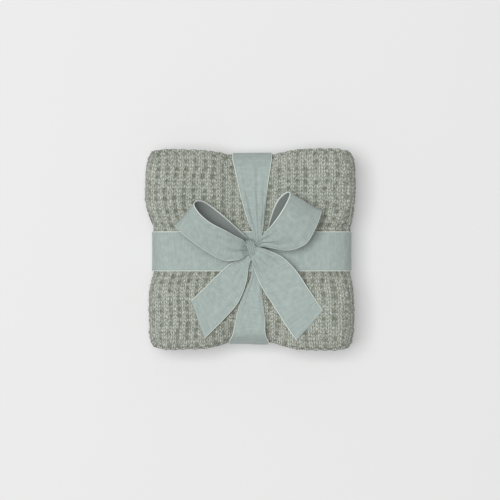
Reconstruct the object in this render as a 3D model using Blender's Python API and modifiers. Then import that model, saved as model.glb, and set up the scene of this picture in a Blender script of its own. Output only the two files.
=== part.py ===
"""A small waffle-knit cotton blanket, folded square and tied crosswise with a wide ribbon and a bow.

The pack lies flat on its back at z = 0, with the bow on top. +Z is up, +Y is the far side seen from above,
and the origin is under the middle of the pack. The cloth is one long back-and-forth section: twelve layers
joined by rounded folds at -X and +X, with both hemmed ends of the section at +X and the layer edges at -Y
and +Y.
"""

import math
from typing import NamedTuple

import bmesh
import bpy
from mathutils import Vector

MM = 0.001

# The folded cloth, before the ribbon pulls it in: 610 x 760 mm, in thirds one way and quarters the other.
LAYER_COUNT = 12
CLOTH_THICKNESS = 4.2 * MM
LAYER_GAP = 0.8 * MM
LAYER_PITCH = CLOTH_THICKNESS + LAYER_GAP
STACK_HEIGHT = LAYER_PITCH * LAYER_COUNT - LAYER_GAP
HALF_WIDTH = 100.5 * MM
HALF_DEPTH = 96.5 * MM
FOLD_RADIUS = LAYER_PITCH / 2
RIM_THINNING = 0.5  # how thick the soft edge of a layer is, as a share of the cloth

# The tied pack: low along the ribbon's cross, high in the middle of each quarter.
TIED_HEIGHT = 54.0 * MM
EDGE_ROLL = 20.0 * MM  # the width of the rounded border of the top
EDGE_DROP = 5.8 * MM  # how far the top layer turns down at that border
CORNER_ROUND = 22.0 * MM
CORNER_INSET = 3.4 * MM
SIDE_ROUND = 6.0 * MM  # how much shorter the top and bottom layers are than the middle ones
SIDE_FLAT = 0.35  # the share of the height, each way from the middle, that isn't drawn in
WAIST_LEFT = 93.0 * MM
WAIST_RIGHT = 95.5 * MM
WAIST_BACK = 92.0 * MM
WAIST_FRONT = 89.0 * MM
UNEVEN_POWER = 4  # uneven reach fades towards the middle of a layer

# The ribbon.
RIBBON_WIDTH = 38.0 * MM
RIBBON_THICKNESS = 1.0 * MM
ACROSS_Y = -1.3 * MM  # the middle of the ribbon along X
LENGTHWISE_X_BACK = 1.7 * MM  # the middle of the ribbon along Y, at the far side and at the near side
LENGTHWISE_X_FRONT = -1.8 * MM
CLEARANCE = 0.3 * MM  # between two lengths of ribbon
BAND_CLEARANCE = 0.6 * MM  # from the cloth's smooth outline; its bent layers reach past that by half of this
DRAPE_CLEARANCE = 2.0 * MM  # between a tail and each band whose edges it is draped over
FLAT_HALF = RIBBON_WIDTH / 2 + 3.0 * MM  # cloth this near the ribbon's centreline lies flat under it
SWELL_RUN = 34.0 * MM  # from there the cloth swells to its full height over this distance
SWELL_START = 0.55  # below 1 it swells faster beside the ribbon
GROOVE = RIBBON_THICKNESS + BAND_CLEARANCE  # how far the underside is lifted over one ribbon
PLEATS = 3  # gathers across the ribbon beside the knot
RING_TOP = 86.0 * MM  # on top the lengthwise ribbon narrows towards the knot this near the middle
RING_UNDER = 65.0 * MM  # under the pack it lies flat this near the middle
KNOT_CENTRE = Vector((1.4, 0.8, 63.0)) * MM
KNOT_RADII = Vector((5.4, 9.0, 6.4)) * MM
KNOT_SQUARENESS = 0.85  # 1 is a ball, and less is a fuller lump
KNOT_FOLDS = 8.4  # how fast the folds of its gathered ribbon follow each other across it
KNOT_SLANT = 0.5
FOLD_DEPTH = 0.05  # as a share of the knot's size

CLOTH_COLOUR = (0.30, 0.33, 0.28, 1.0)
RIBBON_COLOUR = (0.40, 0.46, 0.44, 1.0)


class Quarter(NamedTuple):
    """How far one quarter of the tied pack reaches past the ribbon, and how high it stands."""

    reach_x: float
    reach_y: float
    height: float


# Keyed by the signs of x and y.
QUARTERS = {
    (-1, 1): Quarter(reach_x=100.8 * MM, reach_y=96.0 * MM, height=62.0 * MM),
    (1, 1): Quarter(reach_x=100.0 * MM, reach_y=96.8 * MM, height=61.5 * MM),
    (-1, -1): Quarter(reach_x=97.5 * MM, reach_y=95.8 * MM, height=61.0 * MM),
    (1, -1): Quarter(reach_x=98.5 * MM, reach_y=96.2 * MM, height=61.5 * MM),
}


class FoldPair(NamedTuple):
    """Two layers joined at -X, from the bottom: how far each side stands out of an even stack, in mm."""

    left_fold: float
    right_end: float
    front_edge: float
    back_edge: float


FOLD_PAIRS = (
    FoldPair(left_fold=-1.6, right_end=-0.9, front_edge=-1.2, back_edge=-0.6),
    FoldPair(left_fold=-0.3, right_end=0.4, front_edge=0.3, back_edge=-1.8),
    FoldPair(left_fold=-1.8, right_end=-1.5, front_edge=-1.6, back_edge=0.2),
    FoldPair(left_fold=0.2, right_end=0.5, front_edge=0.0, back_edge=-0.9),
    FoldPair(left_fold=-0.9, right_end=0.6, front_edge=-0.4, back_edge=0.6),
    FoldPair(left_fold=1.6, right_end=5.6, front_edge=2.4, back_edge=2.2),
)

# Distances from the middle at which the sheet has a row of points, as they stand in the even stack.
STATIONS_X = [x * MM for x in (21.5, 38.0, 56.0, 80.5, 89.0)]
STATIONS_Y = [y * MM for y in (21.5, 38.0, 56.0, 76.5, 90.0, 96.5)]
FOLD_STEPS = 4

# Rows of a band round the pack: shares of its half length, distances from its end, shares of its height.
WRAP_MIDDLE = (0.0, 0.22, 0.4, 0.6)
WRAP_BORDER = [d * MM for d in (24.0, 14.0, 9.0, 5.0, 1.8, 0.4, 0.0)]
WRAP_SIDE = (0.985, 0.95, 0.88, 0.8, 0.68, 0.5, 0.32, 0.2, 0.12, 0.05, 0.015)


class Rung(NamedTuple):
    """A line across a length of ribbon, from edge to edge, in mm, and the depth of its gathers."""

    edge_a: tuple
    edge_b: tuple
    pleat: float


LOOP_LEFT = (
    Rung((-0.5, -2.5, 64.5), (-1.5, 4.0, 66.0), 0.9),
    Rung((-5.5, -6.5, 67.4), (-6.5, 9.0, 70.6), 0.9),
    Rung((-14.0, -9.8, 69.4), (-13.5, 12.8, 75.0), 0.6),
    Rung((-27.0, -9.2, 71.0), (-23.0, 18.0, 81.5), 0.2),
    Rung((-43.5, -0.5, 73.0), (-38.0, 26.0, 87.5), 0.0),
    Rung((-59.5, 11.5, 72.8), (-48.5, 35.0, 88.4), 0.0),
    Rung((-69.0, 20.2, 69.4), (-53.2, 42.5, 85.4), 0.0),
    Rung((-70.8, 23.5, 64.8), (-51.0, 46.3, 79.0), 0.0),
    Rung((-66.0, 21.5, 61.8), (-44.5, 46.0, 72.0), 0.0),
    Rung((-54.0, 12.0, 60.6), (-35.5, 40.5, 65.5), 0.0),
    Rung((-38.0, 3.5, 60.6), (-25.0, 32.0, 64.0), 0.0),
    Rung((-22.0, 0.0, 60.6), (-13.5, 21.5, 63.0), 0.3),
    Rung((-9.0, -1.0, 60.6), (-4.5, 12.5, 62.0), 0.35),
    Rung((0.5, -1.0, 60.8), (1.0, 4.5, 61.5), 0.2),
)

LOOP_RIGHT = (
    Rung((3.0, 6.0, 66.0), (4.5, 1.0, 65.0), 0.8),
    Rung((9.5, 12.0, 72.0), (13.5, 3.0, 67.4), 0.9),
    Rung((17.0, 20.0, 81.0), (34.5, -0.6, 72.0), 0.3),
    Rung((25.0, 30.0, 88.5), (51.5, 5.5, 77.0), 0.0),
    Rung((32.0, 41.0, 91.5), (61.0, 20.0, 77.0), 0.0),
    Rung((36.0, 50.0, 88.0), (65.8, 32.0, 73.0), 0.0),
    Rung((36.3, 53.8, 83.5), (66.8, 37.3, 68.5), 0.0),
    Rung((32.5, 53.5, 79.0), (62.5, 37.5, 64.5), 0.0),
    Rung((26.5, 48.0, 77.5), (54.5, 31.0, 61.8), 0.0),
    Rung((22.0, 39.5, 76.0), (45.0, 20.5, 60.8), 0.0),
    Rung((18.5, 28.5, 72.5), (34.0, 10.5, 60.6), 0.2),
    Rung((14.5, 17.0, 67.0), (22.0, 4.0, 60.6), 0.5),
    Rung((3.0, 5.5, 63.0), (5.0, 0.0, 60.8), 0.5),
)

TAIL_LEFT = (
    Rung((-0.5, -1.5, 61.6), (3.5, -3.5, 61.6), 0.0),
    Rung((-9.5, -8.5, 60.0), (-1.5, -14.5, 60.2), 0.2),
    Rung((-20.5, -13.8, 58.4), (-4.0, -31.0, 59.2), 0.4),
    Rung((-32.0, -24.0, 58.0), (-11.5, -49.5, 59.6), 0.0),
    Rung((-44.0, -36.0, 61.2), (-25.5, -66.0, 61.8), 0.0),
    Rung((-56.4, -47.8, 63.2), (-43.7, -84.1, 62.8), 0.0),
)

TAIL_RIGHT = (
    Rung((4.5, 3.0, 66.5), (0.0, -4.0, 65.0), 0.3),
    Rung((9.5, 2.0, 70.4), (0.8, -9.0, 67.0), 0.7),
    Rung((16.0, -0.4, 70.6), (2.2, -14.5, 66.0), 0.8),
    Rung((30.5, -7.0, 68.0), (5.5, -24.0, 62.5), 0.5),
    Rung((43.5, -19.8, 66.0), (11.0, -36.0, 61.0), 0.0),
    Rung((55.0, -37.0, 65.0), (21.5, -52.5, 61.5), 0.0),
    Rung((62.5, -48.0, 64.0), (32.0, -69.5, 62.5), 0.0),
    Rung((68.6, -57.7, 63.0), (43.5, -86.0, 60.5), 0.0),
)

# The ribbon along Y, on top: from the knot to the far edge, and from the near edge to the knot.
TOP_BACK = (
    Rung((3.0, 6.0, 60.2), (7.0, 6.0, 60.2), 0.2),
    Rung((2.6, 15.0, 58.8), (11.0, 15.0, 58.8), 0.6),
    Rung((-3.4, 30.0, 57.0), (13.0, 30.0, 57.2), 0.6),
    Rung((-10.0, 53.0, 55.8), (15.4, 53.0, 55.8), 0.4),
    Rung((-14.4, 73.6, 55.0), (18.4, 73.6, 55.0), 0.25),
)
TOP_FRONT = (
    Rung((-17.2, -80.0, 54.6), (14.4, -80.0, 54.6), 0.15),
    Rung((-13.5, -64.0, 55.8), (13.4, -64.0, 55.8), 0.3),
    Rung((-8.3, -46.0, 56.2), (11.4, -46.0, 56.2), 0.4),
    Rung((0.5, -25.0, 57.4), (9.6, -25.0, 57.4), 0.6),
    Rung((1.0, -5.0, 59.6), (5.5, -5.0, 59.6), 0.4),
)


def new_material(name, colour):
    """A matt cloth of one colour."""
    material = bpy.data.materials.new(name)
    material.use_nodes = True
    shader = material.node_tree.nodes["Principled BSDF"]
    shader.inputs["Base Color"].default_value = colour
    shader.inputs["Roughness"].default_value = 0.9
    shader.inputs["Metallic"].default_value = 0.0
    return material


def smooth_step(share):
    """0 below 0, 1 above 1, and an even S between."""
    share = min(max(share, 0.0), 1.0)
    return share * share * (3.0 - 2.0 * share)


def freedom(offset):
    """0 where the ribbon holds the cloth down, rising to 1 where it swells freely."""
    share = min(max((abs(offset) - FLAT_HALF) / SWELL_RUN, 0.0), 1.0)
    return smooth_step(share**SWELL_START)


def border_drop(offset, half_length):
    """How far the top turns down at this distance from the middle of a side that is 2 * half_length long."""
    share = min(max((abs(offset) - half_length + EDGE_ROLL) / EDGE_ROLL, 0.0), 1.0)
    return EDGE_DROP * share * share


def side_inset(share_of_height):
    """How much the side of the pack is drawn in at this height, so that its edges are round."""
    beyond = max(abs(2.0 * share_of_height - 1.0) - SIDE_FLAT, 0.0) / (1.0 - SIDE_FLAT)
    return SIDE_ROUND * beyond * beyond


def corner_inset(x, y):
    """How much both sides are drawn in beside a corner of the pack."""
    along_x = min(max((abs(x) - HALF_WIDTH) / CORNER_ROUND + 1.0, 0.0), 1.0)
    along_y = min(max((abs(y) - HALF_DEPTH) / CORNER_ROUND + 1.0, 0.0), 1.0)
    return CORNER_INSET * (along_x * along_y) ** 2


def tied_shape(point):
    """Where a point of the even stack lies once the ribbon is tied round it."""
    x, y, z = point
    free_x, free_y = freedom(x), freedom(y)
    quarter = QUARTERS[(1 if x >= 0 else -1, 1 if y >= 0 else -1)]
    waist_x = WAIST_RIGHT if x >= 0 else WAIST_LEFT
    waist_y = WAIST_BACK if y >= 0 else WAIST_FRONT
    up = z / STACK_HEIGHT
    inset = side_inset(up) + corner_inset(x, y)
    half_x = waist_x + (quarter.reach_x - waist_x) * free_y - inset
    half_y = waist_y + (quarter.reach_y - waist_y) * free_x - inset
    height = TIED_HEIGHT + (quarter.height - TIED_HEIGHT) * free_x * free_y
    drop = math.hypot(border_drop(x, HALF_WIDTH), border_drop(y, HALF_DEPTH))
    lift = GROOVE * ((1.0 - free_x) + (1.0 - free_y))
    return Vector(
        (
            x / HALF_WIDTH * half_x,
            y / HALF_DEPTH * half_y,
            up * height - up * up * drop + (1.0 - up) ** 2 * lift,
        )
    )


def cloth_top(x, y, rounds=5):
    """The height of the tied pack at this place, seen from above, found in some rounds of nearing it."""
    flat_x, flat_y = x, y
    for _ in range(rounds):
        tied = tied_shape((flat_x, flat_y, STACK_HEIGHT))
        flat_x = min(max(flat_x + x - tied.x, -HALF_WIDTH), HALF_WIDTH)
        flat_y = min(max(flat_y + y - tied.y, -HALF_DEPTH), HALF_DEPTH)
    return tied.z


def resting_height(x, y):
    """The height of the middle of a ribbon that lies on the pack here, over any band below it."""
    bands = (abs(x) < FLAT_HALF) + (abs(y) < FLAT_HALF)
    on_bands = bands * RIBBON_THICKNESS + (DRAPE_CLEARANCE if bands else 0.0)
    return cloth_top(x, y) + BAND_CLEARANCE + on_bands + RIBBON_THICKNESS / 2


def uneven(layer, side):
    """How far the named side of a layer stands out of the even stack."""
    return getattr(FOLD_PAIRS[layer // 2], side) * MM


def right_reach(layer):
    """The uneven reach at +X, where each fold joins an odd layer to the one above it."""
    return uneven(layer if layer % 2 or layer == 0 else layer - 1, "right_end")


def section_line():
    """The middle of the cloth along the section, from its bottom end to the top one.

    Each entry is (x, z, layer, uneven reach in x).
    """
    inner = HALF_WIDTH - FOLD_RADIUS - CLOTH_THICKNESS / 2
    across = [-inner, *[-x for x in reversed(STATIONS_X)], *STATIONS_X, inner]
    line = []
    for layer in range(LAYER_COUNT):
        rightwards = layer % 2 == 1
        z = CLOTH_THICKNESS / 2 + layer * LAYER_PITCH
        for x in across if rightwards else reversed(across):
            reach = right_reach(layer) if x > 0 else -uneven(layer, "left_fold")
            line.append((x, z, layer, reach * (abs(x) / inner) ** UNEVEN_POWER))
        if layer == LAYER_COUNT - 1:
            break
        side = 1 if rightwards else -1
        reach = right_reach(layer) if rightwards else -uneven(layer, "left_fold")
        for step in range(1, FOLD_STEPS):
            angle = math.pi * step / FOLD_STEPS
            x = side * (inner + FOLD_RADIUS * math.sin(angle))
            line.append((x, z + FOLD_RADIUS * (1 - math.cos(angle)), layer, reach))
    return line


def apply_modifiers(thing):
    """Replaces the object's mesh by what its modifiers make of it."""
    bpy.context.view_layer.update()
    evaluated = thing.evaluated_get(bpy.context.evaluated_depsgraph_get())
    mesh = bpy.data.meshes.new_from_object(evaluated)
    thing.modifiers.clear()
    thing.data = mesh


def sheet_object(name, rows, closed, material, collection):
    """An open surface through rows of points, each row being a line across the sheet."""
    mesh = bmesh.new()
    made = [[mesh.verts.new(point) for point in row] for row in rows]
    pairs = list(zip(made, made[1:]))
    if closed:
        pairs.append((made[-1], made[0]))
    for row, after in pairs:
        for i in range(len(row) - 1):
            mesh.faces.new((row[i], row[i + 1], after[i + 1], after[i]))
    data = bpy.data.meshes.new(name)
    mesh.to_mesh(data)
    mesh.free()
    thing = bpy.data.objects.new(name, data)
    data.materials.append(material)
    collection.objects.link(thing)
    return thing


def thicken(thing, thickness, group=None, thin_share=0.0):
    """Gives the open surface its thickness, half to each side."""
    solidify = thing.modifiers.new("Thickness", "SOLIDIFY")
    solidify.thickness = thickness
    solidify.offset = 0.0
    solidify.use_even_offset = True
    if group:
        solidify.vertex_group = group
        solidify.thickness_vertex_group = thin_share
    apply_modifiers(thing)


def build_blanket(material, collection):
    """The folded cloth: one sheet along the section line, thickened, then drawn in by the ribbon."""
    depths = [-y for y in reversed(STATIONS_Y)] + STATIONS_Y
    rows = []
    for x, z, layer, reach in section_line():
        row = []
        for y in depths:
            side, name = (1, "back_edge") if y > 0 else (-1, "front_edge")
            stretch = uneven(layer, name) * (abs(y) / HALF_DEPTH) ** UNEVEN_POWER * freedom(x)
            row.append((x + reach * freedom(y), y + side * stretch, z))
        rows.append(row)
    blanket = sheet_object("blanket", rows, False, material, collection)
    full = blanket.vertex_groups.new(name="full_thickness")
    per_row = len(depths)
    inside = [i for i in range(len(blanket.data.vertices)) if 0 < i % per_row < per_row - 1]
    full.add(inside, 1.0, "REPLACE")
    thicken(blanket, CLOTH_THICKNESS, full.name, RIM_THINNING)
    for vertex in blanket.data.vertices:
        vertex.co = tied_shape(vertex.co)
    # Layers that lie on each other are divided alike, so that they stay apart where the cloth swells.
    split = blanket.modifiers.new("Triangles", "TRIANGULATE")
    split.quad_method = "SHORTEST_DIAGONAL"
    return blanket


def wrap_path(half_length, as_point):
    """Points on the outside of the even stack, once round it: over the top, down, under and up.

    as_point turns a distance along the stack and a height into a point of the stack.
    """
    tops = [share * half_length for share in WRAP_MIDDLE]
    tops += [half_length - distance for distance in WRAP_BORDER]
    heights = [share * STACK_HEIGHT for share in WRAP_SIDE]
    right = [(s, STACK_HEIGHT) for s in tops] + [(half_length, z) for z in heights]
    right += [(s, 0.0) for s in reversed(tops)]
    left = [(-s, z) for s, z in reversed(right[1:-1])]
    return [tied_shape(as_point(s, z)) for s, z in right + left]


def outward(path, flat, distance):
    """The closed path moved outwards by a distance, kept even round its bends.

    flat names the path's two axes, as 0, 1 or 2.
    """
    moved = []
    first, second = flat
    for i, point in enumerate(path):
        into = (point - path[i - 1]).normalized()
        away = (path[(i + 1) % len(path)] - point).normalized()
        along = (into + away).normalized()
        normal = Vector((0.0, 0.0, 0.0))
        normal[first], normal[second] = -along[second], along[first]
        moved.append(point + normal * distance / max(along.dot(away), 0.5))
    return moved


def catmull(before, start, end, after, share):
    """A point on the smooth curve through four points, between the middle two."""
    square, cube = share * share, share * share * share
    return 0.5 * (
        2.0 * start
        + (end - before) * share
        + (2.0 * before - 5.0 * start + 4.0 * end - after) * square
        + (3.0 * start - before - 3.0 * end + after) * cube
    )


def rung_lines(rungs):
    """(edge a, edge b, pleat) of each of the table's rungs, in metres."""
    return [(Vector(r.edge_a) * MM, Vector(r.edge_b) * MM, r.pleat * MM) for r in rungs]


def smooth_lines(lines, steps):
    """(edge a, edge b, pleat) at even steps along the smooth surface through the given ones."""
    found = []
    for i in range(len(lines) - 1):
        before, after = lines[max(i - 1, 0)], lines[min(i + 2, len(lines) - 1)]
        keys = list(zip(before, lines[i], lines[i + 1], after))
        found += [tuple(catmull(*key, step / steps) for key in keys) for step in range(steps)]
    return [*found, lines[-1]]


def ribbon_rows(lines, columns):
    """Rows of points across the ribbon, from (edge a, edge b, pleat), with its gathers raised in them."""
    rows = []
    for i, (edge_a, edge_b, pleat) in enumerate(lines):
        before, after = lines[max(i - 1, 0)], lines[min(i + 1, len(lines) - 1)]
        along = (after[0] + after[1]) - (before[0] + before[1])
        normal = along.cross(edge_b - edge_a).normalized()
        narrow = min((edge_b - edge_a).length / RIBBON_WIDTH * 2.0, 1.0)
        row = []
        for column in range(columns + 1):
            share = column / columns
            wave = math.cos(2.0 * math.pi * PLEATS * share) * pleat * narrow
            row.append(edge_a.lerp(edge_b, share) + normal * wave)
        rows.append(row)
    return rows


def build_knot(material, collection):
    """The knot: a soft lump with the turns of the ribbon raised round it."""
    bpy.ops.mesh.primitive_uv_sphere_add(segments=20, ring_count=12, radius=1.0)
    knot = bpy.context.object
    knot.name = knot.data.name = "knot"
    knot.data.materials.append(material)
    for other in list(knot.users_collection):
        other.objects.unlink(knot)
    collection.objects.link(knot)
    for vertex in knot.data.vertices:
        vertex.co = knot_point(*vertex.co)
    return knot


def knot_point(x, y, z):
    """Where a point of a ball of radius 1 lies on the knot."""
    fold = math.cos(KNOT_FOLDS * (x + KNOT_SLANT * y)) * math.sqrt(max(1.0 - abs(z), 0.0))
    size = 1.0 + FOLD_DEPTH * fold
    side = [math.copysign(abs(value) ** KNOT_SQUARENESS, value) for value in (x, y, z)]
    return KNOT_CENTRE + Vector([side[i] * KNOT_RADII[i] * size for i in range(3)])


def knot_clearance(knot, collection):
    """A copy of the knot, a little larger, that trims the ribbon's lengths beside it."""
    cutter = bpy.data.objects.new("knot_clearance", knot.data.copy())
    collection.objects.link(cutter)
    for vertex in cutter.data.vertices:
        away = vertex.co - KNOT_CENTRE
        vertex.co += away.normalized() * CLEARANCE
    cutter.hide_render = True
    cutter.display_type = "WIRE"
    return cutter


def trim(thing, cutter):
    """Cuts the end of a length of ribbon back to just outside the knot."""
    boolean = thing.modifiers.new("Trim", "BOOLEAN")
    boolean.operation = "DIFFERENCE"
    boolean.object = cutter


def build_length(name, rungs, columns, steps, cutter, material, collection):
    """A length of ribbon through the table's rungs, held clear of the pack and trimmed at the knot."""
    rows = ribbon_rows(smooth_lines(rung_lines(rungs), steps), columns)
    for row in rows:
        for point in row:
            point.z = max(point.z, resting_height(point.x, point.y))
    length = sheet_object(name, rows, False, material, collection)
    thicken(length, RIBBON_THICKNESS)
    trim(length, cutter)
    return length


def build_across(material, collection):
    """The ribbon along X: a closed band round the waist of the pack."""
    path = wrap_path(HALF_WIDTH, lambda s, z: (s, ACROSS_Y, z))
    path = outward(path, (0, 2), BAND_CLEARANCE + RIBBON_THICKNESS / 2)
    half = RIBBON_WIDTH / 2
    rows = [[point + Vector((0.0, side * half, 0.0)) for side in (-1, 0, 1)] for point in path]
    for row in rows:
        for point in row:
            point.z = max(point.z, RIBBON_THICKNESS / 2)
    band = sheet_object("ribbon_across", rows, True, material, collection)
    thicken(band, RIBBON_THICKNESS)
    return band


def lengthwise_x(y):
    """The middle of the ribbon along Y at this place, where it runs slightly aslant."""
    share = (y / HALF_DEPTH + 1.0) / 2
    return LENGTHWISE_X_FRONT + (LENGTHWISE_X_BACK - LENGTHWISE_X_FRONT) * share


def build_lengthwise(cutter, material, collection):
    """The ribbon along Y: from the knot over the far edge, under the pack, and back to the knot."""
    path = wrap_path(HALF_DEPTH, lambda s, z: (0.0, s, z))
    path = outward(path, (1, 2), BAND_CLEARANCE + RIBBON_THICKNESS / 2)
    half = Vector((RIBBON_WIDTH / 2, 0.0, 0.0))
    ring = []
    for point in path:
        if point.z > STACK_HEIGHT / 2 and abs(point.y) < RING_TOP:
            continue
        if point.z < STACK_HEIGHT / 4 and abs(point.y) < RING_UNDER:
            point.z = RIBBON_THICKNESS / 2
        point.x = lengthwise_x(point.y)
        ring.append((point - half, point + half, 0.0))
    steps = 3
    back = smooth_lines([*rung_lines(TOP_BACK), *ring[:2]], steps)
    front = smooth_lines([*ring[-2:], *rung_lines(TOP_FRONT)], steps)
    rows = ribbon_rows([*back[: -1 - steps], *ring, *front[1 + steps :]], 2 * PLEATS)
    band = sheet_object("ribbon_lengthwise", rows, False, material, collection)
    thicken(band, RIBBON_THICKNESS)
    trim(band, cutter)
    return band


def clear_scene():
    """Removes every object of the scene."""
    for thing in list(bpy.data.objects):
        bpy.data.objects.remove(thing)


def main():
    clear_scene()
    parts = bpy.data.collections.new("tied_blanket")
    cutters = bpy.data.collections.new("cutters")
    for collection in (parts, cutters):
        bpy.context.scene.collection.children.link(collection)
    cloth = new_material("waffle_cotton", CLOTH_COLOUR)
    tape = new_material("woven_ribbon", RIBBON_COLOUR)
    build_blanket(cloth, parts)
    knot = build_knot(tape, parts)
    cutter = knot_clearance(knot, cutters)
    build_across(tape, parts)
    build_lengthwise(cutter, tape, parts)
    build_length("loop_left", LOOP_LEFT, 2 * PLEATS, 2, cutter, tape, parts)
    build_length("loop_right", LOOP_RIGHT, 2 * PLEATS, 2, cutter, tape, parts)
    build_length("tail_left", TAIL_LEFT, 2 * PLEATS, 3, cutter, tape, parts)
    build_length("tail_right", TAIL_RIGHT, 2 * PLEATS, 3, cutter, tape, parts)


main()
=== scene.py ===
"""The looks of a folded waffle-knit cotton blanket, tied crosswise with a woven ribbon and a bow.

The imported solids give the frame. Every piece here is cloth, so each is a thin closed sheet laid on its
solid's folds: the blanket as one long back-and-forth section with its cells raised in the mesh, and the
ribbon as bands, loops and tails with their gathers. +Z is up, +Y is the far side seen from above, and
lengths are in metres.
"""

from __future__ import annotations

import logging
import math
from collections.abc import Callable, Sequence
from dataclasses import dataclass, field
from enum import Enum, IntEnum
from functools import partial
from typing import Any

import bpy
import numpy as np
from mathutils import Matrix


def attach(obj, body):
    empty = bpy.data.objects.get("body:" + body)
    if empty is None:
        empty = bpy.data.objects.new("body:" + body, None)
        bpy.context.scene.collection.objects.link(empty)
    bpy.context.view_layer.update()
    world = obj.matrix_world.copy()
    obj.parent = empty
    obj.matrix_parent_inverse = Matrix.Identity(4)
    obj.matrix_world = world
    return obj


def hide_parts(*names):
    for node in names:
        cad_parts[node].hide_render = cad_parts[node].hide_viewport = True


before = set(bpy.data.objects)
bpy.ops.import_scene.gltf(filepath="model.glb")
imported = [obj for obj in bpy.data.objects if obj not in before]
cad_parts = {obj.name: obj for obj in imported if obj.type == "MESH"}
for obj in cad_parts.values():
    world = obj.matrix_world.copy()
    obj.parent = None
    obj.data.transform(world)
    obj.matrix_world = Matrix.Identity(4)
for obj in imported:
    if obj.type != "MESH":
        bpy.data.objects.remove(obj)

LOG = logging.getLogger("tied_blanket")
MM = 0.001
BODY = "root"
UV_MAP = "cloth"  # each piece's own map, in metres of flat cloth


class Slot(Enum):
    """The record's material slots."""

    CLOTH = "waffle_cotton"
    RIBBON = "woven_ribbon"


class Held(Enum):
    """How a sheet lies."""

    FOLDED = "folded"
    GATHERED = "gathered"
    DRAPED = "draped"


class Skin(IntEnum):
    """The two faces of the blanket's cloth."""

    A = 0
    B = 1


class Face(IntEnum):
    """Which side of a length's rows is the ribbon's right side: the one their normals point to, or not. The
    other side is painted darker, as painted shade.
    """

    FIRST = 0
    SECOND = 1


def linear(colour: str) -> tuple[float, float, float, float]:
    """Turns an sRGB hex colour to linear.

    Args:
        colour: The colour as "#RRGGBB".

    Returns:
        Red, green, blue and an alpha of 1.
    """
    parts = [int(colour[i : i + 2], 16) / 255 for i in (1, 3, 5)]
    red, green, blue = ((c / 12.92) if c <= 0.04045 else ((c + 0.055) / 1.055) ** 2.4 for c in parts)
    return red, green, blue, 1.0


def add_node(
    tree: bpy.types.NodeTree, kind: str, inputs: dict[str | int, Any] | None = None, **settings: Any
) -> bpy.types.Node:
    """Adds one shader node with its settings, values and links.

    Args:
        tree: The node tree.
        kind: The node's type without "ShaderNode", such as "Math".
        inputs: For each socket, its value, or the socket or the node's first output that feeds it.
        settings: The node's own properties.

    Returns:
        The new node.
    """
    node = tree.nodes.new(f"ShaderNode{kind}")
    for name, value in settings.items():
        setattr(node, name, value)
    for name, value in (inputs or {}).items():
        source = value.outputs[0] if isinstance(value, bpy.types.Node) else value
        if isinstance(source, bpy.types.NodeSocket):
            tree.links.new(source, node.inputs[name])
        else:
            node.inputs[name].default_value = source
    return node


def smooth_step(share: np.ndarray) -> np.ndarray:
    """0 below 0, 1 above 1, and an even S between."""
    share = np.clip(share, 0.0, 1.0)
    return share * share * (3.0 - 2.0 * share)


def cell_corners(rows: Sequence[int], columns: Sequence[int]) -> tuple[np.ndarray, np.ndarray]:
    """The rows and the columns of the four corners of each cell in a grid."""
    r, c = (grid.ravel() for grid in np.meshgrid(rows, columns, indexing="ij"))
    return np.stack([r, r, r + 1, r + 1], axis=1), np.stack([c, c + 1, c + 1, c], axis=1)


@dataclass(frozen=True)
class Noise:
    """One kind of unevenness: random highs and lows at these distances, moved by a start of some steps."""

    run_u: float
    run_v: float
    seed: int = 0
    start: tuple[float, float] = (0.0, 0.0)
    steps: int = 64  # after which it repeats

    def at(self, u: np.ndarray, v: np.ndarray, seed: int = 0) -> np.ndarray:
        """Its height at each place.

        Args:
            u: Places along the first direction.
            v: Places along the second direction.
            seed: Added to its own, for another one of its kind.

        Returns:
            One height from -1 to 1 for each place.
        """
        x, y = u / self.run_u + self.start[0], v / self.run_v + self.start[1]
        values = np.random.default_rng(self.seed + seed).uniform(-1.0, 1.0, (self.steps, self.steps))
        floor_x, floor_y = np.floor(x).astype(int), np.floor(y).astype(int)
        share_x, share_y = smooth_step(x - floor_x), smooth_step(y - floor_y)
        i, j = floor_x % self.steps, floor_y % self.steps
        i_next, j_next = (i + 1) % self.steps, (j + 1) % self.steps
        near = values[i, j] * (1 - share_x) + values[i_next, j] * share_x
        far = values[i, j_next] * (1 - share_x) + values[i_next, j_next] * share_x
        return near * (1 - share_y) + far * share_y


@dataclass(frozen=True)
class Piece:
    """What a finished piece stands for and wears."""

    node: str
    slot: Slot
    flat: tuple[float, float] | None = None
    held: Held = Held.FOLDED
    rests_on: tuple[str, ...] = ()

    def hand_over(self, thing: bpy.types.Object, material: bpy.types.Material) -> None:
        """Dresses the object, hangs it under the body and hides the solid that it stands for.

        Args:
            thing: The finished object.
            material: Its material.
        """
        thing.data.materials.append(material)
        thing.data.shade_smooth()
        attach(thing, BODY)
        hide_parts(self.node)
        triangles = sum(len(face.vertices) - 2 for face in thing.data.polygons)
        LOG.info("%s: %d triangles, stands for %s", thing.name, triangles, self.node)


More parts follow.
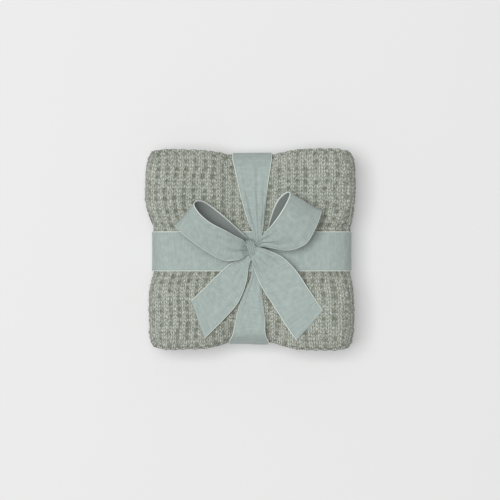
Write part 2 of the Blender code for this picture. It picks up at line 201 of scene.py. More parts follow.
def mesh_object(
    name: str,
    points: np.ndarray,
    faces: Sequence[Sequence[int]],
    corner_uvs: np.ndarray,
    values: dict[str, np.ndarray],
) -> bpy.types.Object:
    """Makes an object of points and faces, turned so that its faces point outwards.

    Args:
        name: The object's name.
        points: Rows of x, y, z.
        faces: The corners of each face, as indices of points.
        corner_uvs: One u, v row for each corner of each face, in metres.
        values: Attributes with one number for each point.

    Returns:
        The new object, linked to the scene.
    """
    data = bpy.data.meshes.new(name)
    data.from_pydata(points.tolist(), [], faces)
    layer = data.uv_layers.new(name=UV_MAP)
    layer.data.foreach_set("uv", corner_uvs.astype(np.float32).ravel())
    for label, numbers in values.items():
        attribute = data.attributes.new(label, "FLOAT", "POINT")
        attribute.data.foreach_set("value", numbers.astype(np.float32))
    data.calc_loop_triangles()
    corners = np.empty(len(data.loop_triangles) * 3, np.int32)
    data.loop_triangles.foreach_get("vertices", corners)
    first, second, third = points[corners.reshape(-1, 3)].transpose(1, 0, 2)
    if np.einsum("ij,ij->i", first, np.cross(second, third)).sum() < 0:
        data.flip_normals()
    thing = bpy.data.objects.new(name, data)
    bpy.context.scene.collection.objects.link(thing)
    return thing


@dataclass(frozen=True)
class Quarter:
    """How far one quarter of the tied pack reaches past the ribbon, and how high it stands."""

    reach_x: float
    reach_y: float
    height: float


@dataclass(frozen=True)
class Crease:
    """A soft trough in the top of the pack, from one place to another."""

    start: tuple[float, float]
    end: tuple[float, float]
    half_width: float
    depth: float

    def closeness(self, x: np.ndarray, y: np.ndarray, fade: float) -> np.ndarray:
        """How near the crease's line each place is.

        Args:
            x: Places along X.
            y: Places along Y.
            fade: How far it reaches past its ends, in half widths.

        Returns:
            1 on the line, falling to 0 beside it and past its ends.
        """
        (x0, y0), (x1, y1) = self.start, self.end
        length = math.hypot(x1 - x0, y1 - y0)
        along = ((x - x0) * (x1 - x0) + (y - y0) * (y1 - y0)) / length
        away = ((y - y0) * (x1 - x0) - (x - x0) * (y1 - y0)) / length
        past = np.maximum(np.maximum(-along, along - length), 0.0)
        return np.exp(-((away / self.half_width) ** 2) - (past / (fade * self.half_width)) ** 2)


@dataclass(frozen=True)
class TiedShape:
    """The even stack of layers, and how the ribbon draws it in."""

    half_width: float = 100.5 * MM
    half_depth: float = 96.5 * MM
    stack_height: float = 59.2 * MM
    tied_height: float = 54.0 * MM
    edge_roll: float = 20.0 * MM
    edge_drop: float = 5.8 * MM
    corner_round: float = 22.0 * MM
    corner_draw: float = 3.4 * MM
    side_round: float = 6.0 * MM
    side_flat: float = 0.35  # the share of the height, each way from the middle, that isn't drawn in
    waist_left: float = 93.0 * MM
    waist_right: float = 95.5 * MM
    waist_back: float = 92.0 * MM
    waist_front: float = 89.0 * MM
    flat_half: float = 22.0 * MM
    swell_run: float = 34.0 * MM
    swell_start: float = 0.55  # below 1 it swells faster beside the ribbon
    groove: float = 1.6 * MM
    quarters: tuple[tuple[Quarter, Quarter], ...] = (  # in front and at the back: left and right
        (Quarter(97.5 * MM, 95.8 * MM, 61.0 * MM), Quarter(98.5 * MM, 96.2 * MM, 61.5 * MM)),
        (Quarter(100.8 * MM, 96.0 * MM, 62.0 * MM), Quarter(100.0 * MM, 96.8 * MM, 61.5 * MM)),
    )
    lumps: Noise = Noise(38.0 * MM, 38.0 * MM, 21, (11.3, 7.7))  # the cloth's unplanned soft swells
    lump_height: float = 1.5 * MM
    sway: float = 0.9 * MM  # how far those swells carry the rows of the knit sideways
    creases: tuple[Crease, ...] = (
        Crease((-86.0 * MM, -30.0 * MM), (-84.0 * MM, -96.0 * MM), 7.0 * MM, 1.9 * MM),
        Crease((-93.0 * MM, 24.0 * MM), (-58.0 * MM, 44.0 * MM), 9.0 * MM, 1.1 * MM),
        Crease((30.0 * MM, 74.0 * MM), (52.0 * MM, 92.0 * MM), 8.0 * MM, 0.9 * MM),
        Crease((84.0 * MM, 30.0 * MM), (90.0 * MM, 84.0 * MM), 8.0 * MM, 1.2 * MM),
        Crease((-34.0 * MM, -66.0 * MM), (-60.0 * MM, -92.0 * MM), 9.0 * MM, 1.0 * MM),
        Crease((70.0 * MM, -34.0 * MM), (95.0 * MM, -60.0 * MM), 9.0 * MM, 1.1 * MM),
    )
    crease_fade: float = 1.5
    search_steps: int = 6  # in which the top's height is found at a place

    def freedom(self, offset: np.ndarray) -> np.ndarray:
        """0 where the ribbon holds the cloth down, rising to 1 where it swells freely."""
        share = np.clip((np.abs(offset) - self.flat_half) / self.swell_run, 0.0, 1.0)
        return smooth_step(share**self.swell_start)

    def border_drop(self, offset: np.ndarray, half_length: float) -> np.ndarray:
        """How far the top turns down at this distance from the middle of a side."""
        share = np.clip((np.abs(offset) - half_length + self.edge_roll) / self.edge_roll, 0.0, 1.0)
        return self.edge_drop * share * share

    def corner_inset(self, x: np.ndarray, y: np.ndarray) -> np.ndarray:
        """How much both sides are drawn in beside a corner of the pack.

        Args:
            x: The places along X.
            y: The places along Y.

        Returns:
            A distance for each place.
        """
        along_x = np.clip((np.abs(x) - self.half_width) / self.corner_round + 1.0, 0.0, 1.0)
        along_y = np.clip((np.abs(y) - self.half_depth) / self.corner_round + 1.0, 0.0, 1.0)
        return self.corner_draw * (along_x * along_y) ** 2

    def by_quarter(self, x: np.ndarray, y: np.ndarray, name: str) -> np.ndarray:
        """The named size of the quarter that each point is in."""
        table = np.array([[getattr(quarter, name) for quarter in pair] for pair in self.quarters])
        return table[(y >= 0).astype(int), (x >= 0).astype(int)]

    def tie(self, points: np.ndarray) -> np.ndarray:
        """Moves points of the even stack to where they lie once the ribbon is tied.

        Args:
            points: Rows of x, y, z.

        Returns:
            The moved points.
        """
        x, y, z = points[:, 0], points[:, 1], points[:, 2]
        free_x, free_y = self.freedom(x), self.freedom(y)
        up = z / self.stack_height
        beyond = np.maximum(np.abs(2.0 * up - 1.0) - self.side_flat, 0.0) / (1.0 - self.side_flat)
        inset = self.side_round * beyond * beyond + self.corner_inset(x, y)
        waist_x = np.where(x >= 0, self.waist_right, self.waist_left)
        waist_y = np.where(y >= 0, self.waist_back, self.waist_front)
        half_x = waist_x + (self.by_quarter(x, y, "reach_x") - waist_x) * free_y - inset
        half_y = waist_y + (self.by_quarter(x, y, "reach_y") - waist_y) * free_x - inset
        swollen = self.by_quarter(x, y, "height") - self.tied_height
        height = self.tied_height + swollen * free_x * free_y
        drop = np.hypot(self.border_drop(x, self.half_width), self.border_drop(y, self.half_depth))
        lift = self.groove * ((1.0 - free_x) + (1.0 - free_y))
        tied_z = up * height - up * up * drop + (1.0 - up) ** 2 * lift
        return np.stack([x / self.half_width * half_x, y / self.half_depth * half_y, tied_z], axis=1)

    def settle(self, points: np.ndarray) -> np.ndarray:
        """Adds the swells and creases of loose cloth, which fade towards the ribbon and the underside.

        Args:
            points: Rows of x, y, z of the tied pack.

        Returns:
            The moved points.
        """
        x, y, z = points[:, 0], points[:, 1], points[:, 2]
        up = np.clip(z / self.stack_height, 0.0, 1.0)
        loose = self.freedom(x) * self.freedom(y)
        swell = self.lump_height * self.lumps.at(x, y) * up * up
        for crease in self.creases:
            swell = swell - crease.depth * crease.closeness(x, y, self.crease_fade) * up**4
        moved = points.copy()
        moved[:, 0] += self.sway * self.lumps.at(x, y, 1) * loose
        moved[:, 1] += self.sway * self.lumps.at(x, y, 2) * loose
        moved[:, 2] += swell * loose
        return moved

    def top(self, x: np.ndarray, y: np.ndarray) -> np.ndarray:
        """The height of the tied pack at each place, seen from above.

        Args:
            x: Places along X.
            y: Places along Y.

        Returns:
            One height for each place.
        """
        flat_x, flat_y = x.copy(), y.copy()
        tied = np.zeros((len(x), 3))
        for _ in range(self.search_steps):
            tied = self.tie(np.stack([flat_x, flat_y, np.full_like(x, self.stack_height)], axis=1))
            flat_x = np.clip(flat_x + x - tied[:, 0], -self.half_width, self.half_width)
            flat_y = np.clip(flat_y + y - tied[:, 1], -self.half_depth, self.half_depth)
        return tied[:, 2]


@dataclass(frozen=True)
class FoldPair:
    """Two layers joined at -X: how far each side stands out of an even stack, in mm."""

    left_fold: float
    right_end: float
    front_edge: float
    back_edge: float


@dataclass(frozen=True)
class Waffle:
    """The relief of the knit: thick ribs along Y, thinner bars across them, and a pit in each cell."""

    rib_pitch: float = 9.3 * MM
    bar_pitch: float = 7.1 * MM
    pit_depth: float = 1.8 * MM
    wander: float = 2.1 * MM  # how far a row strays from its straight line
    rib_stray: Noise = Noise(19.53 * MM, 12.07 * MM, 3)
    bar_stray: Noise = Noise(13.02 * MM, 17.04 * MM, 5)
    rib_share: float = 0.86  # how wide a rib is, from -1 to 1
    bar_share: float = 0.6
    pit_sizes: Noise = Noise(6.51 * MM, 4.97 * MM, 9, steps=128)
    pit_variety: float = 0.56  # how much they differ
    bar_height: float = 0.66  # as a share of the ribs'
    lumps: Noise = Noise(3.162 * MM, 2.13 * MM, 7, steps=256)
    uneven: float = 0.36  # the lumps' height on a rib, as a share of the pit's depth
    pit_uneven: float = 0.4  # and how much of that is left in a pit

    def height(self, u: np.ndarray, v: np.ndarray) -> np.ndarray:
        """The height of the knit's surface above the bottom of its pits.

        Args:
            u: Places across the ribs.
            v: Places across the bars.

        Returns:
            One share of the pit's depth for each place, from about 0 to 1.
        """
        rib = np.cos(2 * np.pi * (u + self.wander * self.rib_stray.at(u, v)) / self.rib_pitch)
        bar = np.cos(2 * np.pi * (v + self.wander * self.bar_stray.at(u, v)) / self.bar_pitch)
        size = self.pit_variety * self.pit_sizes.at(u, v)
        rib_top = smooth_step(rib + self.rib_share + size)
        bar_top = self.bar_height * smooth_step(bar + self.bar_share + size)
        level = rib_top + bar_top - rib_top * bar_top
        lumps = self.uneven * self.lumps.at(u, v)
        return level + lumps * (self.pit_uneven + (1.0 - self.pit_uneven) * level)


@dataclass
class ClothLine:
    """The middle of the cloth along its section, from the bottom end to the top one."""

    shape: TiedShape
    layers: int = 12
    thickness: float = 4.2 * MM
    gap: float = 0.8 * MM
    uneven_power: int = 4
    pairs: tuple[FoldPair, ...] = (  # from the bottom
        FoldPair(left_fold=-1.6, right_end=-0.9, front_edge=-1.2, back_edge=-0.6),
        FoldPair(left_fold=-0.3, right_end=0.4, front_edge=0.3, back_edge=-1.8),
        FoldPair(left_fold=-1.8, right_end=-1.5, front_edge=-1.6, back_edge=0.2),
        FoldPair(left_fold=0.2, right_end=0.5, front_edge=0.0, back_edge=-0.9),
        FoldPair(left_fold=-0.9, right_end=0.6, front_edge=-0.4, back_edge=0.6),
        FoldPair(left_fold=1.6, right_end=5.6, front_edge=2.4, back_edge=2.2),
    )

    def __post_init__(self) -> None:
        """Works out the sizes that follow from the others."""
        self.pitch = self.thickness + self.gap
        self.radius = self.pitch / 2
        self.fold_run = math.pi * self.radius
        self.inner = self.shape.half_width - self.radius - self.thickness / 2
        self.straight = 2 * self.inner
        self.period = self.straight + self.fold_run
        self.length = self.layers * self.period - self.fold_run

    def side_reach(self, layer: np.ndarray, side: str) -> np.ndarray:
        """How far the named side of each layer stands out of the even stack."""
        table = np.array([getattr(pair, side) for pair in self.pairs]) * MM
        return table[np.clip(layer // 2, 0, len(self.pairs) - 1)]

    def layer_and_turn(self, s: np.ndarray) -> tuple[np.ndarray, np.ndarray, np.ndarray]:
        """Finds each distance's layer.

        Args:
            s: Distances along the section, from its bottom end.

        Returns:
            For each distance its layer, how far along that it is, and how far round the fold, from 0 to 1.
        """
        layer = np.clip(np.floor(s / self.period + 1e-9), 0, self.layers - 1).astype(int)
        t = s - layer * self.period
        return layer, t, np.clip((t - self.straight) / self.fold_run, 0.0, 1.0)

    def follow(self, s: np.ndarray) -> dict[str, np.ndarray]:
        """Follows the middle of the cloth.

        Args:
            s: Distances along the section, from its bottom end.

        Returns:
            For each distance: x, z, the normal's nx and nz, and the uneven reach in x and at the front and
            back edges.
        """
        layer, t, turn = self.layer_and_turn(s)
        side = np.where(layer % 2 == 1, 1.0, -1.0)
        base = self.thickness / 2 + layer * self.pitch
        angle = turn * math.pi
        folding = turn > 0
        x = side * np.where(folding, self.inner + self.radius * np.sin(angle), t - self.inner)
        owner = np.where((layer % 2 == 1) | (layer == 0), layer, layer - 1)
        reach = np.where(x > 0, self.side_reach(owner, "right_end"), -self.side_reach(layer, "left_fold"))
        edges = {
            name: self.side_reach(layer, name) * (1 - turn) + self.side_reach(layer + 1, name) * turn
            for name in ("front_edge", "back_edge")
        }
        return {
            "x": x,
            "z": np.where(folding, base + self.radius * (1 - np.cos(angle)), base),
            "nx": np.where(folding, -np.sin(angle), 0.0),
            "nz": np.where(folding, side * np.cos(angle), side),
            "reach": reach * np.minimum(np.abs(x) / self.inner, 1.0) ** self.uneven_power,
            **edges,
        }


@dataclass(frozen=True)
class MeshPlan:
    """How the long section is divided: fine where it shows, and coarse where two layers hide each other."""

    shown_step: float = 1.05 * MM  # on the top, and across the cloth everywhere
    side_step: float = 1.6 * MM  # along the other layers
    under_stride: int = 2  # fine columns joined on the underside
    fold_rows: int = 8
    margin_rows: int = 2  # fine rows beside a fold
    margin: float = 3.2 * MM
    block: float = 12.4 * MM  # a hidden face
    edge_columns: int = 2
    rim_steps: int = 3
    rim: float = 1.05 * MM  # the radius of the soft edge of a layer
    taper: float = 6.5 * MM  # over which the cloth thins towards that edge
    end_rows: tuple[float, ...] = (0.0, 0.35, 0.9, 1.8)  # rows at the section's two ends, in mm
    end_run: float = 1.9 * MM  # over which those ends are rounded
    end_least: float = 0.02  # the share of the thickness left at the very end


@dataclass(frozen=True)
class RowGroup:
    """Rows that may be joined in one hidden face, and which skins of them show."""

    first: int
    last: int
    layer: int
    shown: tuple[bool, bool]  # skin A and skin B
    outside: bool  # on the top or the underside of the pack
    free_end: bool  # at one of the section's two ends


@dataclass(frozen=True)
class Ring:
    """The points of one row, once round the cloth: over skin A, round a rim, back over skin B, and a rim."""

    place: np.ndarray  # across the cloth
    normal: np.ndarray  # the part of the normal that is square to the cloth
    outward: np.ndarray  # and the part that points away from its middle
    groups: list[tuple[int, int]]  # columns that may be joined in one hidden face
    skin_end: int  # the last column of skin A
    back: int  # the first column of skin B

    def skin(self, column: np.ndarray | int) -> Any:
        """The skin, as 0 or 1, of the faces that start at this column."""
        return (column + 1) // self.back % 2


@dataclass(frozen=True)
class Division:
    """The faces of both skins as (first row, last row, first column, last column, skin), and their points."""

    cells: list[tuple[int, int, int, int, Skin]]  # ranges of fine faces
    blocks: list[tuple[int, int, int, int, Skin]]  # single larger faces
    used: np.ndarray
    detailed: np.ndarray  # the points that carry the knit's relief


@dataclass
class BlanketCloth:
    """The blanket: one sheet folded back and forth in twelve layers."""

    line: ClothLine
    waffle: Waffle = field(default_factory=Waffle)
    plan: MeshPlan = field(default_factory=MeshPlan)
    proud: float = 0.22  # the share of the relief that stands above the solid's surface
    proud_inside: float = 0.03  # the same where a layer faces another
    edge_calm: float = 0.45  # the share of the relief that is lost at a layer's edge
    fold_calm: tuple[float, float] = (5.0 * MM, 9.0 * MM)  # inside a fold: no relief, and full relief again
    across_middle: float = -1.3 * MM  # of the ribbon that lies along X
    across_half: float = 17.0 * MM  # what it hides, each way from its middle
    lengthwise_half: float = 15.0 * MM  # what the other one hides
    ring_half: float = 66.0 * MM  # nearer the middle than this it narrows
    rim_run: float = 1.5  # how far the knit runs on over a rim, in rims
    flat: tuple[float, float] = (0.61, 0.76)

    def rows(self) -> tuple[np.ndarray, list[RowGroup]]:
        """Sets out the rows along the section.

        Returns:
            The distance of each row, and the groups of rows.
        """
        line, plan = self.line, self.plan
        ends = [row * MM for row in plan.end_rows]
        inner_run = line.straight - 2 * plan.margin
        blocks = round(inner_run / plan.block)
        found: list[float] = []
        groups = []
        for layer in range(line.layers):
            start, top = layer * line.period, layer == line.layers - 1
            block_rows = round(inner_run / blocks / (plan.shown_step if top else plan.side_step))
            cuts = [start + plan.margin + inner_run * i / blocks for i in range(blocks + 1)]
            stretches = [(start, cuts[0], plan.margin_rows)]
            stretches += [(a, b, block_rows) for a, b in zip(cuts, cuts[1:])]
            stretches.append((cuts[-1], start + line.straight, plan.margin_rows))
            if not top:
                stretches.append((start + line.straight, start + line.period, plan.fold_rows))
            runs = [[a + (b - a) * i / count for i in range(count)] for a, b, count in stretches]
            if layer == 0:
                runs[0] = ends
            if top:
                runs[-1] = [line.length - row for row in ends[:0:-1]]
            folds = {0: layer - 1, blocks + 1: layer, blocks + 2: layer}  # the fold beside these runs
            for number, run in enumerate(runs):
                fold, folding = folds.get(number), number == blocks + 2
                free_end = not folding and fold in (-1, line.layers - 1)
                outside = layer in (0, line.layers - 1) and not folding
                by_fold = [fold is not None and fold % 2 == skin for skin in Skin]
                shown = (outside or free_end or by_fold[Skin.A], free_end or by_fold[Skin.B])
                first = len(found)
                groups.append(RowGroup(first, first + len(run), layer, shown, outside, free_end))
                found += run
        return np.array([*found, line.length]), groups

    def ring(self) -> Ring:
        """Sets out the points of one row, once round the cloth.

        Returns:
            The points, and how they are grouped.
        """
        plan = self.plan
        half = self.line.shape.half_depth - plan.rim
        count = round(2 * half / plan.shown_step)
        angles = np.linspace(0, math.pi, plan.rim_steps + 1)[1:-1]
        skin = [np.linspace(-half, half, count + 1), np.ones(count + 1), np.zeros(count + 1)]
        rim = [np.full(len(angles), half), np.cos(angles), np.sin(angles)]
        one = np.concatenate([skin, rim], axis=1)
        place, normal, outward = np.concatenate([one, -one], axis=1)
        edge, back = plan.edge_columns, count + plan.rim_steps
        blocks = round((count - 2 * edge) / (plan.block / plan.shown_step))
        cuts = [edge + round((count - 2 * edge) * i / blocks) for i in range(blocks + 1)]
        groups = [(0, edge), *zip(cuts, cuts[1:]), (count - edge, count)]
        groups += [(c, c + 1) for c in range(count, back)]
        groups += [(back + a, back + b) for a, b in groups]
        return Ring(place, normal, outward, groups, count, back)

    def covered(self, x: np.ndarray, v: np.ndarray) -> bool:
        """Tells whether the ribbon hides this whole block of the pack's top or underside.

        Args:
            x: Where the block's corners lie along X.
            v: Where they lie along the rows.

        Returns:
            Whether it is hidden.
        """
        across = np.all(np.abs(v - self.across_middle) < self.across_half)
        lengthwise = np.all(np.abs(x) < self.lengthwise_half) and np.all(np.abs(v) > self.ring_half)
        return bool(across or lengthwise)

    def divide(self, x: np.ndarray, groups: list[RowGroup], ring: Ring) -> Division:
        """Divides both skins into fine and hidden faces.

        Args:
            x: Where each row lies along X.
            groups: The groups of rows.
            ring: The points of one row.

        Returns:
            The faces, and which points they use.
        """
        total = len(ring.place)
        used = np.zeros((len(x), total + 1), bool)
        detailed = np.zeros_like(used)
        cells, blocks = [], []
        for group in groups:
            r0, r1 = group.first, group.last
            for c0, c1 in ring.groups:
                skin = Skin(ring.skin(c0))
                wide = c1 - c0 > self.plan.edge_columns
                shown = group.shown[skin] or not wide
                if wide and group.outside and skin is Skin.A and not group.free_end:
                    shown = not self.covered(x[[r0, r1]], ring.place[[c0, c1 % total]])
                if not shown:
                    blocks.append((r0, r1, c0, c1, skin))
                    used[np.ix_([r0, r1], [c0, c1])] = True
                    continue
                under = wide and group.outside and group.layer == 0
                joined = under and r1 - r0 > len(self.plan.end_rows)
                picks = sorted({*range(c0, c1, self.plan.under_stride if joined else 1), c1})
                used[r0 : r1 + 1, picks] = True
                detailed[r0 : r1 + 1, picks] = True
                if joined:
                    spans = list(zip(picks, picks[1:]))
                    blocks.extend((r, r + 1, a, b, skin) for r in range(r0, r1) for a, b in spans)
                else:
                    cells.append((r0, r1, c0, c1, skin))
        for marks in (used, detailed):
            marks[:, 0] |= marks[:, total]
            marks[:, total] = marks[:, 0]
        return Division(cells, blocks, used, detailed)

    @staticmethod
    def around(block: tuple[int, int, int, int, Skin], used: np.ndarray) -> list[tuple[int, int]]:
        """Walks round a block.

        Args:
            block: Its first and last row, its first and last column, and its skin.
            used: Which points are used.

        Returns:
            The used points round it, as (row, column), in order.
        """
        r0, r1, c0, c1, _ = block
        walk = [(r0, c) for c in range(c0, c1)] + [(r, c1) for r in range(r0, r1)]
        walk += [(r1, c) for c in range(c1, c0, -1)] + [(r, c0) for r in range(r1, r0, -1)]
        return [place for place in walk if used[place]]

    @staticmethod
    def caps(last_row: int, ring: Ring) -> list[list[tuple[int, int]]]:
        """Sets out the faces that close the cloth's two ends.

        Args:
            last_row: The number of the last row.
            ring: The points of one row.

        Returns:
            The faces, as lists of (row, column).
        """
        count, back, total = ring.skin_end, ring.back, len(ring.place)
        strips = [[j + 1, j, back + count - j, back + count - j - 1] for j in range(count)]
        strips.append([count, *range(back, count, -1)])
        strips.append([back + count, 0, *range(total - 1, back + count, -1)])
        near = [[(0, c) for c in strip] for strip in strips]
        return near + [[(last_row, c) for c in reversed(strip)] for strip in strips]

    def knit_places(self, s: np.ndarray) -> np.ndarray:
        """Finds where each row lies on the knit, which takes one more cell round an outer fold.

        Args:
            s: The rows' distances along the section.

        Returns:
            The places on skin A and on skin B.
        """
        layer, _, turn = self.line.layer_and_turn(s)
        even = layer % 2 == 0
        left = (layer + 1) // 2 + np.where(even, turn, 0.0)
        right = layer // 2 + np.where(even, 0.0, turn)
        return s + np.stack([left, right]) * self.waffle.rib_pitch

    def outside_folds(self, s: np.ndarray, skin: Skin) -> np.ndarray:
        """Finds how clear each row is of the folds that turn this skin inwards.

        Args:
            s: The rows' distances along the section.
            skin: The skin.

        Returns:
            0 at such a fold, rising to 1 some millimetres beside it.
        """
        line = self.line
        inward = range(1 - skin, line.layers - 1, 2)
        middles = np.array([(k + 1) * line.period - line.fold_run / 2 for k in inward])
        away = np.abs(s[:, None] - middles[None, :]).min(axis=1)
        none, full = self.fold_calm
        return 1.0 - smooth_step((full - away) / (full - none))

    def place_points(
        self, s: np.ndarray, ring: Ring, i: np.ndarray, j: np.ndarray, detailed: np.ndarray
    ) -> tuple[np.ndarray, np.ndarray]:
        """Works out where the used points lie.

        Args:
            s: The rows' distances along the section.
            ring: The points of one row.
            i: The row of each point.
            j: The column of each point.
            detailed: Which points carry the knit's relief.

        Returns:
            The points, and the knit's level at each.
        """
        line, plan, shape = self.line, self.plan, self.line.shape
        rows = {name: values[i] for name, values in line.follow(s).items()}
        skin, v, across, out = ring.skin(j), ring.place[j], ring.normal[j], ring.outward[j]
        level = self.waffle.height(self.knit_places(s)[skin, i], v + out * plan.rim)
        free = np.stack([self.outside_folds(s, each) for each in Skin])[skin, i]
        layer, t, _ = (values[i] for values in line.layer_and_turn(s))
        on_face = ((layer == 0) | (layer == line.layers - 1)) & (skin == Skin.A)
        outside = (t > line.straight) | on_face
        proud = np.where(outside, self.proud, self.proud_inside)
        thinning = smooth_step((np.abs(v) - (shape.half_depth - plan.rim - plan.taper)) / plan.taper)
        from_end = np.clip(np.minimum(s, line.length - s)[i] / plan.end_run, 0.0, 1.0)
        end = np.sqrt(np.clip(1.0 - (1.0 - from_end) ** 2, plan.end_least, 1.0))
        half_thick = (line.thickness / 2 - (line.thickness / 2 - plan.rim) * thinning) * end
        strength = (1.0 - self.edge_calm * thinning) * free * end * detailed
        raised = self.waffle.pit_depth * (level - 1.0 + proud) * strength
        x = rows["x"] + rows["reach"] * shape.freedom(v)
        edge = np.where(v > 0, rows["back_edge"], rows["front_edge"])
        stretch = edge * (np.abs(v) / shape.half_depth) ** line.uneven_power * shape.freedom(rows["x"])
        y = v + np.sign(v) * stretch + out * (plan.rim * end + raised)
        away = across * np.where(out == 0.0, half_thick + raised, plan.rim * end + raised)
        even = np.stack([x + rows["nx"] * away, y, rows["z"] + rows["nz"] * away], axis=1)
        tied = shape.settle(shape.tie(even))
        tied[:, 2] = np.maximum(tied[:, 2], 0.0)
        return tied, level

    def build(self) -> bpy.types.Object:
        """Builds the folded blanket as one closed mesh.

        Returns:
            The object.
        """
        s, groups = self.rows()
        ring = self.ring()
        total = len(ring.place)
        parts = self.divide(self.line.follow(s)["x"], groups, ring)
        numbers = np.full(parts.used.shape, -1)
        i, j = np.nonzero(parts.used[:, :total])
        numbers[i, j] = np.arange(len(i))
        numbers[:, total] = numbers[:, 0]
        points, level = self.place_points(s, ring, i, j, parts.detailed[i, j])
        faces: list[list[int]] = []
        corners = []  # the row, the column and the skin of each face corner
        for r0, r1, c0, c1, skin in parts.cells:
            corner_r, corner_c = cell_corners(range(r0, r1), range(c0, c1))
            faces.extend(numbers[corner_r, corner_c].tolist())
            columns = [corner_r.ravel(), corner_c.ravel(), np.full(corner_r.size, skin)]
            corners.append(np.stack(columns, axis=1))
        walks = [(self.around(block, parts.used), block[4]) for block in parts.blocks]
        walks += [(cap, Skin.A) for cap in self.caps(len(s) - 1, ring)]
        for walk, skin in walks:
            table = np.array([(*place, skin) for place in walk])
            faces.append(numbers[table[:, 0], table[:, 1]].tolist())
            corners.append(table)
        row, column, skin = np.concatenate(corners).T
        across = ring.place + ring.outward * self.plan.rim * self.rim_run
        uvs = np.stack([self.knit_places(s)[skin, row], np.append(across, ring.place[0])[column]], axis=1)
        return mesh_object("blanket_cloth", points, faces, uvs, {"knit_level": level})


# Straight lines across a length of ribbon: x, y and z of one edge and of the other, and the depth of the
# gathers, in mm.
Rungs = tuple[tuple[float, ...], ...]

Length = tuple[bpy.types.Object, float]  # a made length of ribbon, and how long it is

LOOP_LEFT: Rungs = (
    (-0.5, -2.5, 64.5, -1.5, 4.0, 66.0, 0.9),
    (-5.5, -6.5, 67.4, -6.5, 9.0, 70.6, 0.9),
    (-14.0, -9.8, 69.4, -13.5, 12.8, 75.0, 0.6),
    (-27.0, -9.2, 71.0, -23.0, 18.0, 81.5, 0.2),
    (-43.5, -0.5, 73.0, -38.0, 26.0, 87.5, 0.0),
    (-59.5, 11.5, 72.8, -48.5, 35.0, 88.4, 0.0),
    (-69.0, 20.2, 69.4, -53.2, 42.5, 85.4, 0.0),
    (-70.8, 23.5, 64.8, -51.0, 46.3, 79.0, 0.0),
    (-66.0, 21.5, 61.8, -44.5, 46.0, 72.0, 0.0),
    (-54.0, 12.0, 60.6, -35.5, 40.5, 65.5, 0.0),
    (-38.0, 3.5, 60.6, -25.0, 32.0, 64.0, 0.0),
    (-22.0, 0.0, 60.6, -13.5, 21.5, 63.0, 0.3),
    (-9.0, -1.0, 60.6, -4.5, 12.5, 62.0, 0.35),
    (0.5, -1.0, 60.8, 1.0, 4.5, 61.5, 0.2),
)

LOOP_RIGHT: Rungs = (
    (3.0, 6.0, 66.0, 4.5, 1.0, 65.0, 0.8),
    (9.5, 12.0, 72.0, 13.5, 3.0, 67.4, 0.9),
    (17.0, 20.0, 81.0, 34.5, -0.6, 72.0, 0.3),
    (25.0, 30.0, 88.5, 51.5, 5.5, 77.0, 0.0),
    (32.0, 41.0, 91.5, 61.0, 20.0, 77.0, 0.0),
    (36.0, 50.0, 88.0, 65.8, 32.0, 73.0, 0.0),
    (36.3, 53.8, 83.5, 66.8, 37.3, 68.5, 0.0),
    (32.5, 53.5, 79.0, 62.5, 37.5, 64.5, 0.0),
    (26.5, 48.0, 77.5, 54.5, 31.0, 61.8, 0.0),
    (22.0, 39.5, 76.0, 45.0, 20.5, 60.8, 0.0),
    (18.5, 28.5, 72.5, 34.0, 10.5, 60.6, 0.2),
    (14.5, 17.0, 67.0, 22.0, 4.0, 60.6, 0.5),
    (3.0, 5.5, 63.0, 5.0, 0.0, 60.8, 0.5),
)

TAIL_LEFT: Rungs = (
    (-0.5, -1.5, 61.6, 3.5, -3.5, 61.6, 0.0),
    (-9.5, -8.5, 60.0, -1.5, -14.5, 60.2, 0.2),
    (-20.5, -13.8, 58.4, -4.0, -31.0, 59.2, 0.4),
    (-32.0, -24.0, 58.0, -11.5, -49.5, 59.6, 0.0),
    (-44.0, -36.0, 61.2, -25.5, -66.0, 61.8, 0.0),
    (-56.4, -47.8, 63.2, -43.7, -84.1, 62.8, 0.0),
)

TAIL_RIGHT: Rungs = (
    (4.5, 3.0, 66.5, 0.0, -4.0, 65.0, 0.3),
    (9.5, 2.0, 70.4, 0.8, -9.0, 67.0, 0.7),
    (16.0, -0.4, 70.6, 2.2, -14.5, 66.0, 0.8),
    (30.5, -7.0, 68.0, 5.5, -24.0, 62.5, 0.5),
    (43.5, -19.8, 66.0, 11.0, -36.0, 61.0, 0.0),
    (55.0, -37.0, 65.0, 21.5, -52.5, 61.5, 0.0),
    (62.5, -48.0, 64.0, 32.0, -69.5, 62.5, 0.0),
    (68.6, -57.7, 63.0, 43.5, -86.0, 60.5, 0.0),
)

TOP_BACK: Rungs = (
    (3.0, 6.0, 60.2, 7.0, 6.0, 60.2, 0.2),
    (2.6, 15.0, 58.8, 11.0, 15.0, 58.8, 0.6),
    (-3.4, 30.0, 57.0, 13.0, 30.0, 57.2, 0.6),
    (-10.0, 53.0, 55.8, 15.4, 53.0, 55.8, 0.4),
    (-14.4, 73.6, 55.0, 18.4, 73.6, 55.0, 0.25),
)

TOP_FRONT: Rungs = (
    (-17.2, -80.0, 54.6, 14.4, -80.0, 54.6, 0.15),
    (-13.5, -64.0, 55.8, 13.4, -64.0, 55.8, 0.3),
    (-8.3, -46.0, 56.2, 11.4, -46.0, 56.2, 0.4),
    (0.5, -25.0, 57.4, 9.6, -25.0, 57.4, 0.6),
    (1.0, -5.0, 59.6, 5.5, -5.0, 59.6, 0.4),
)


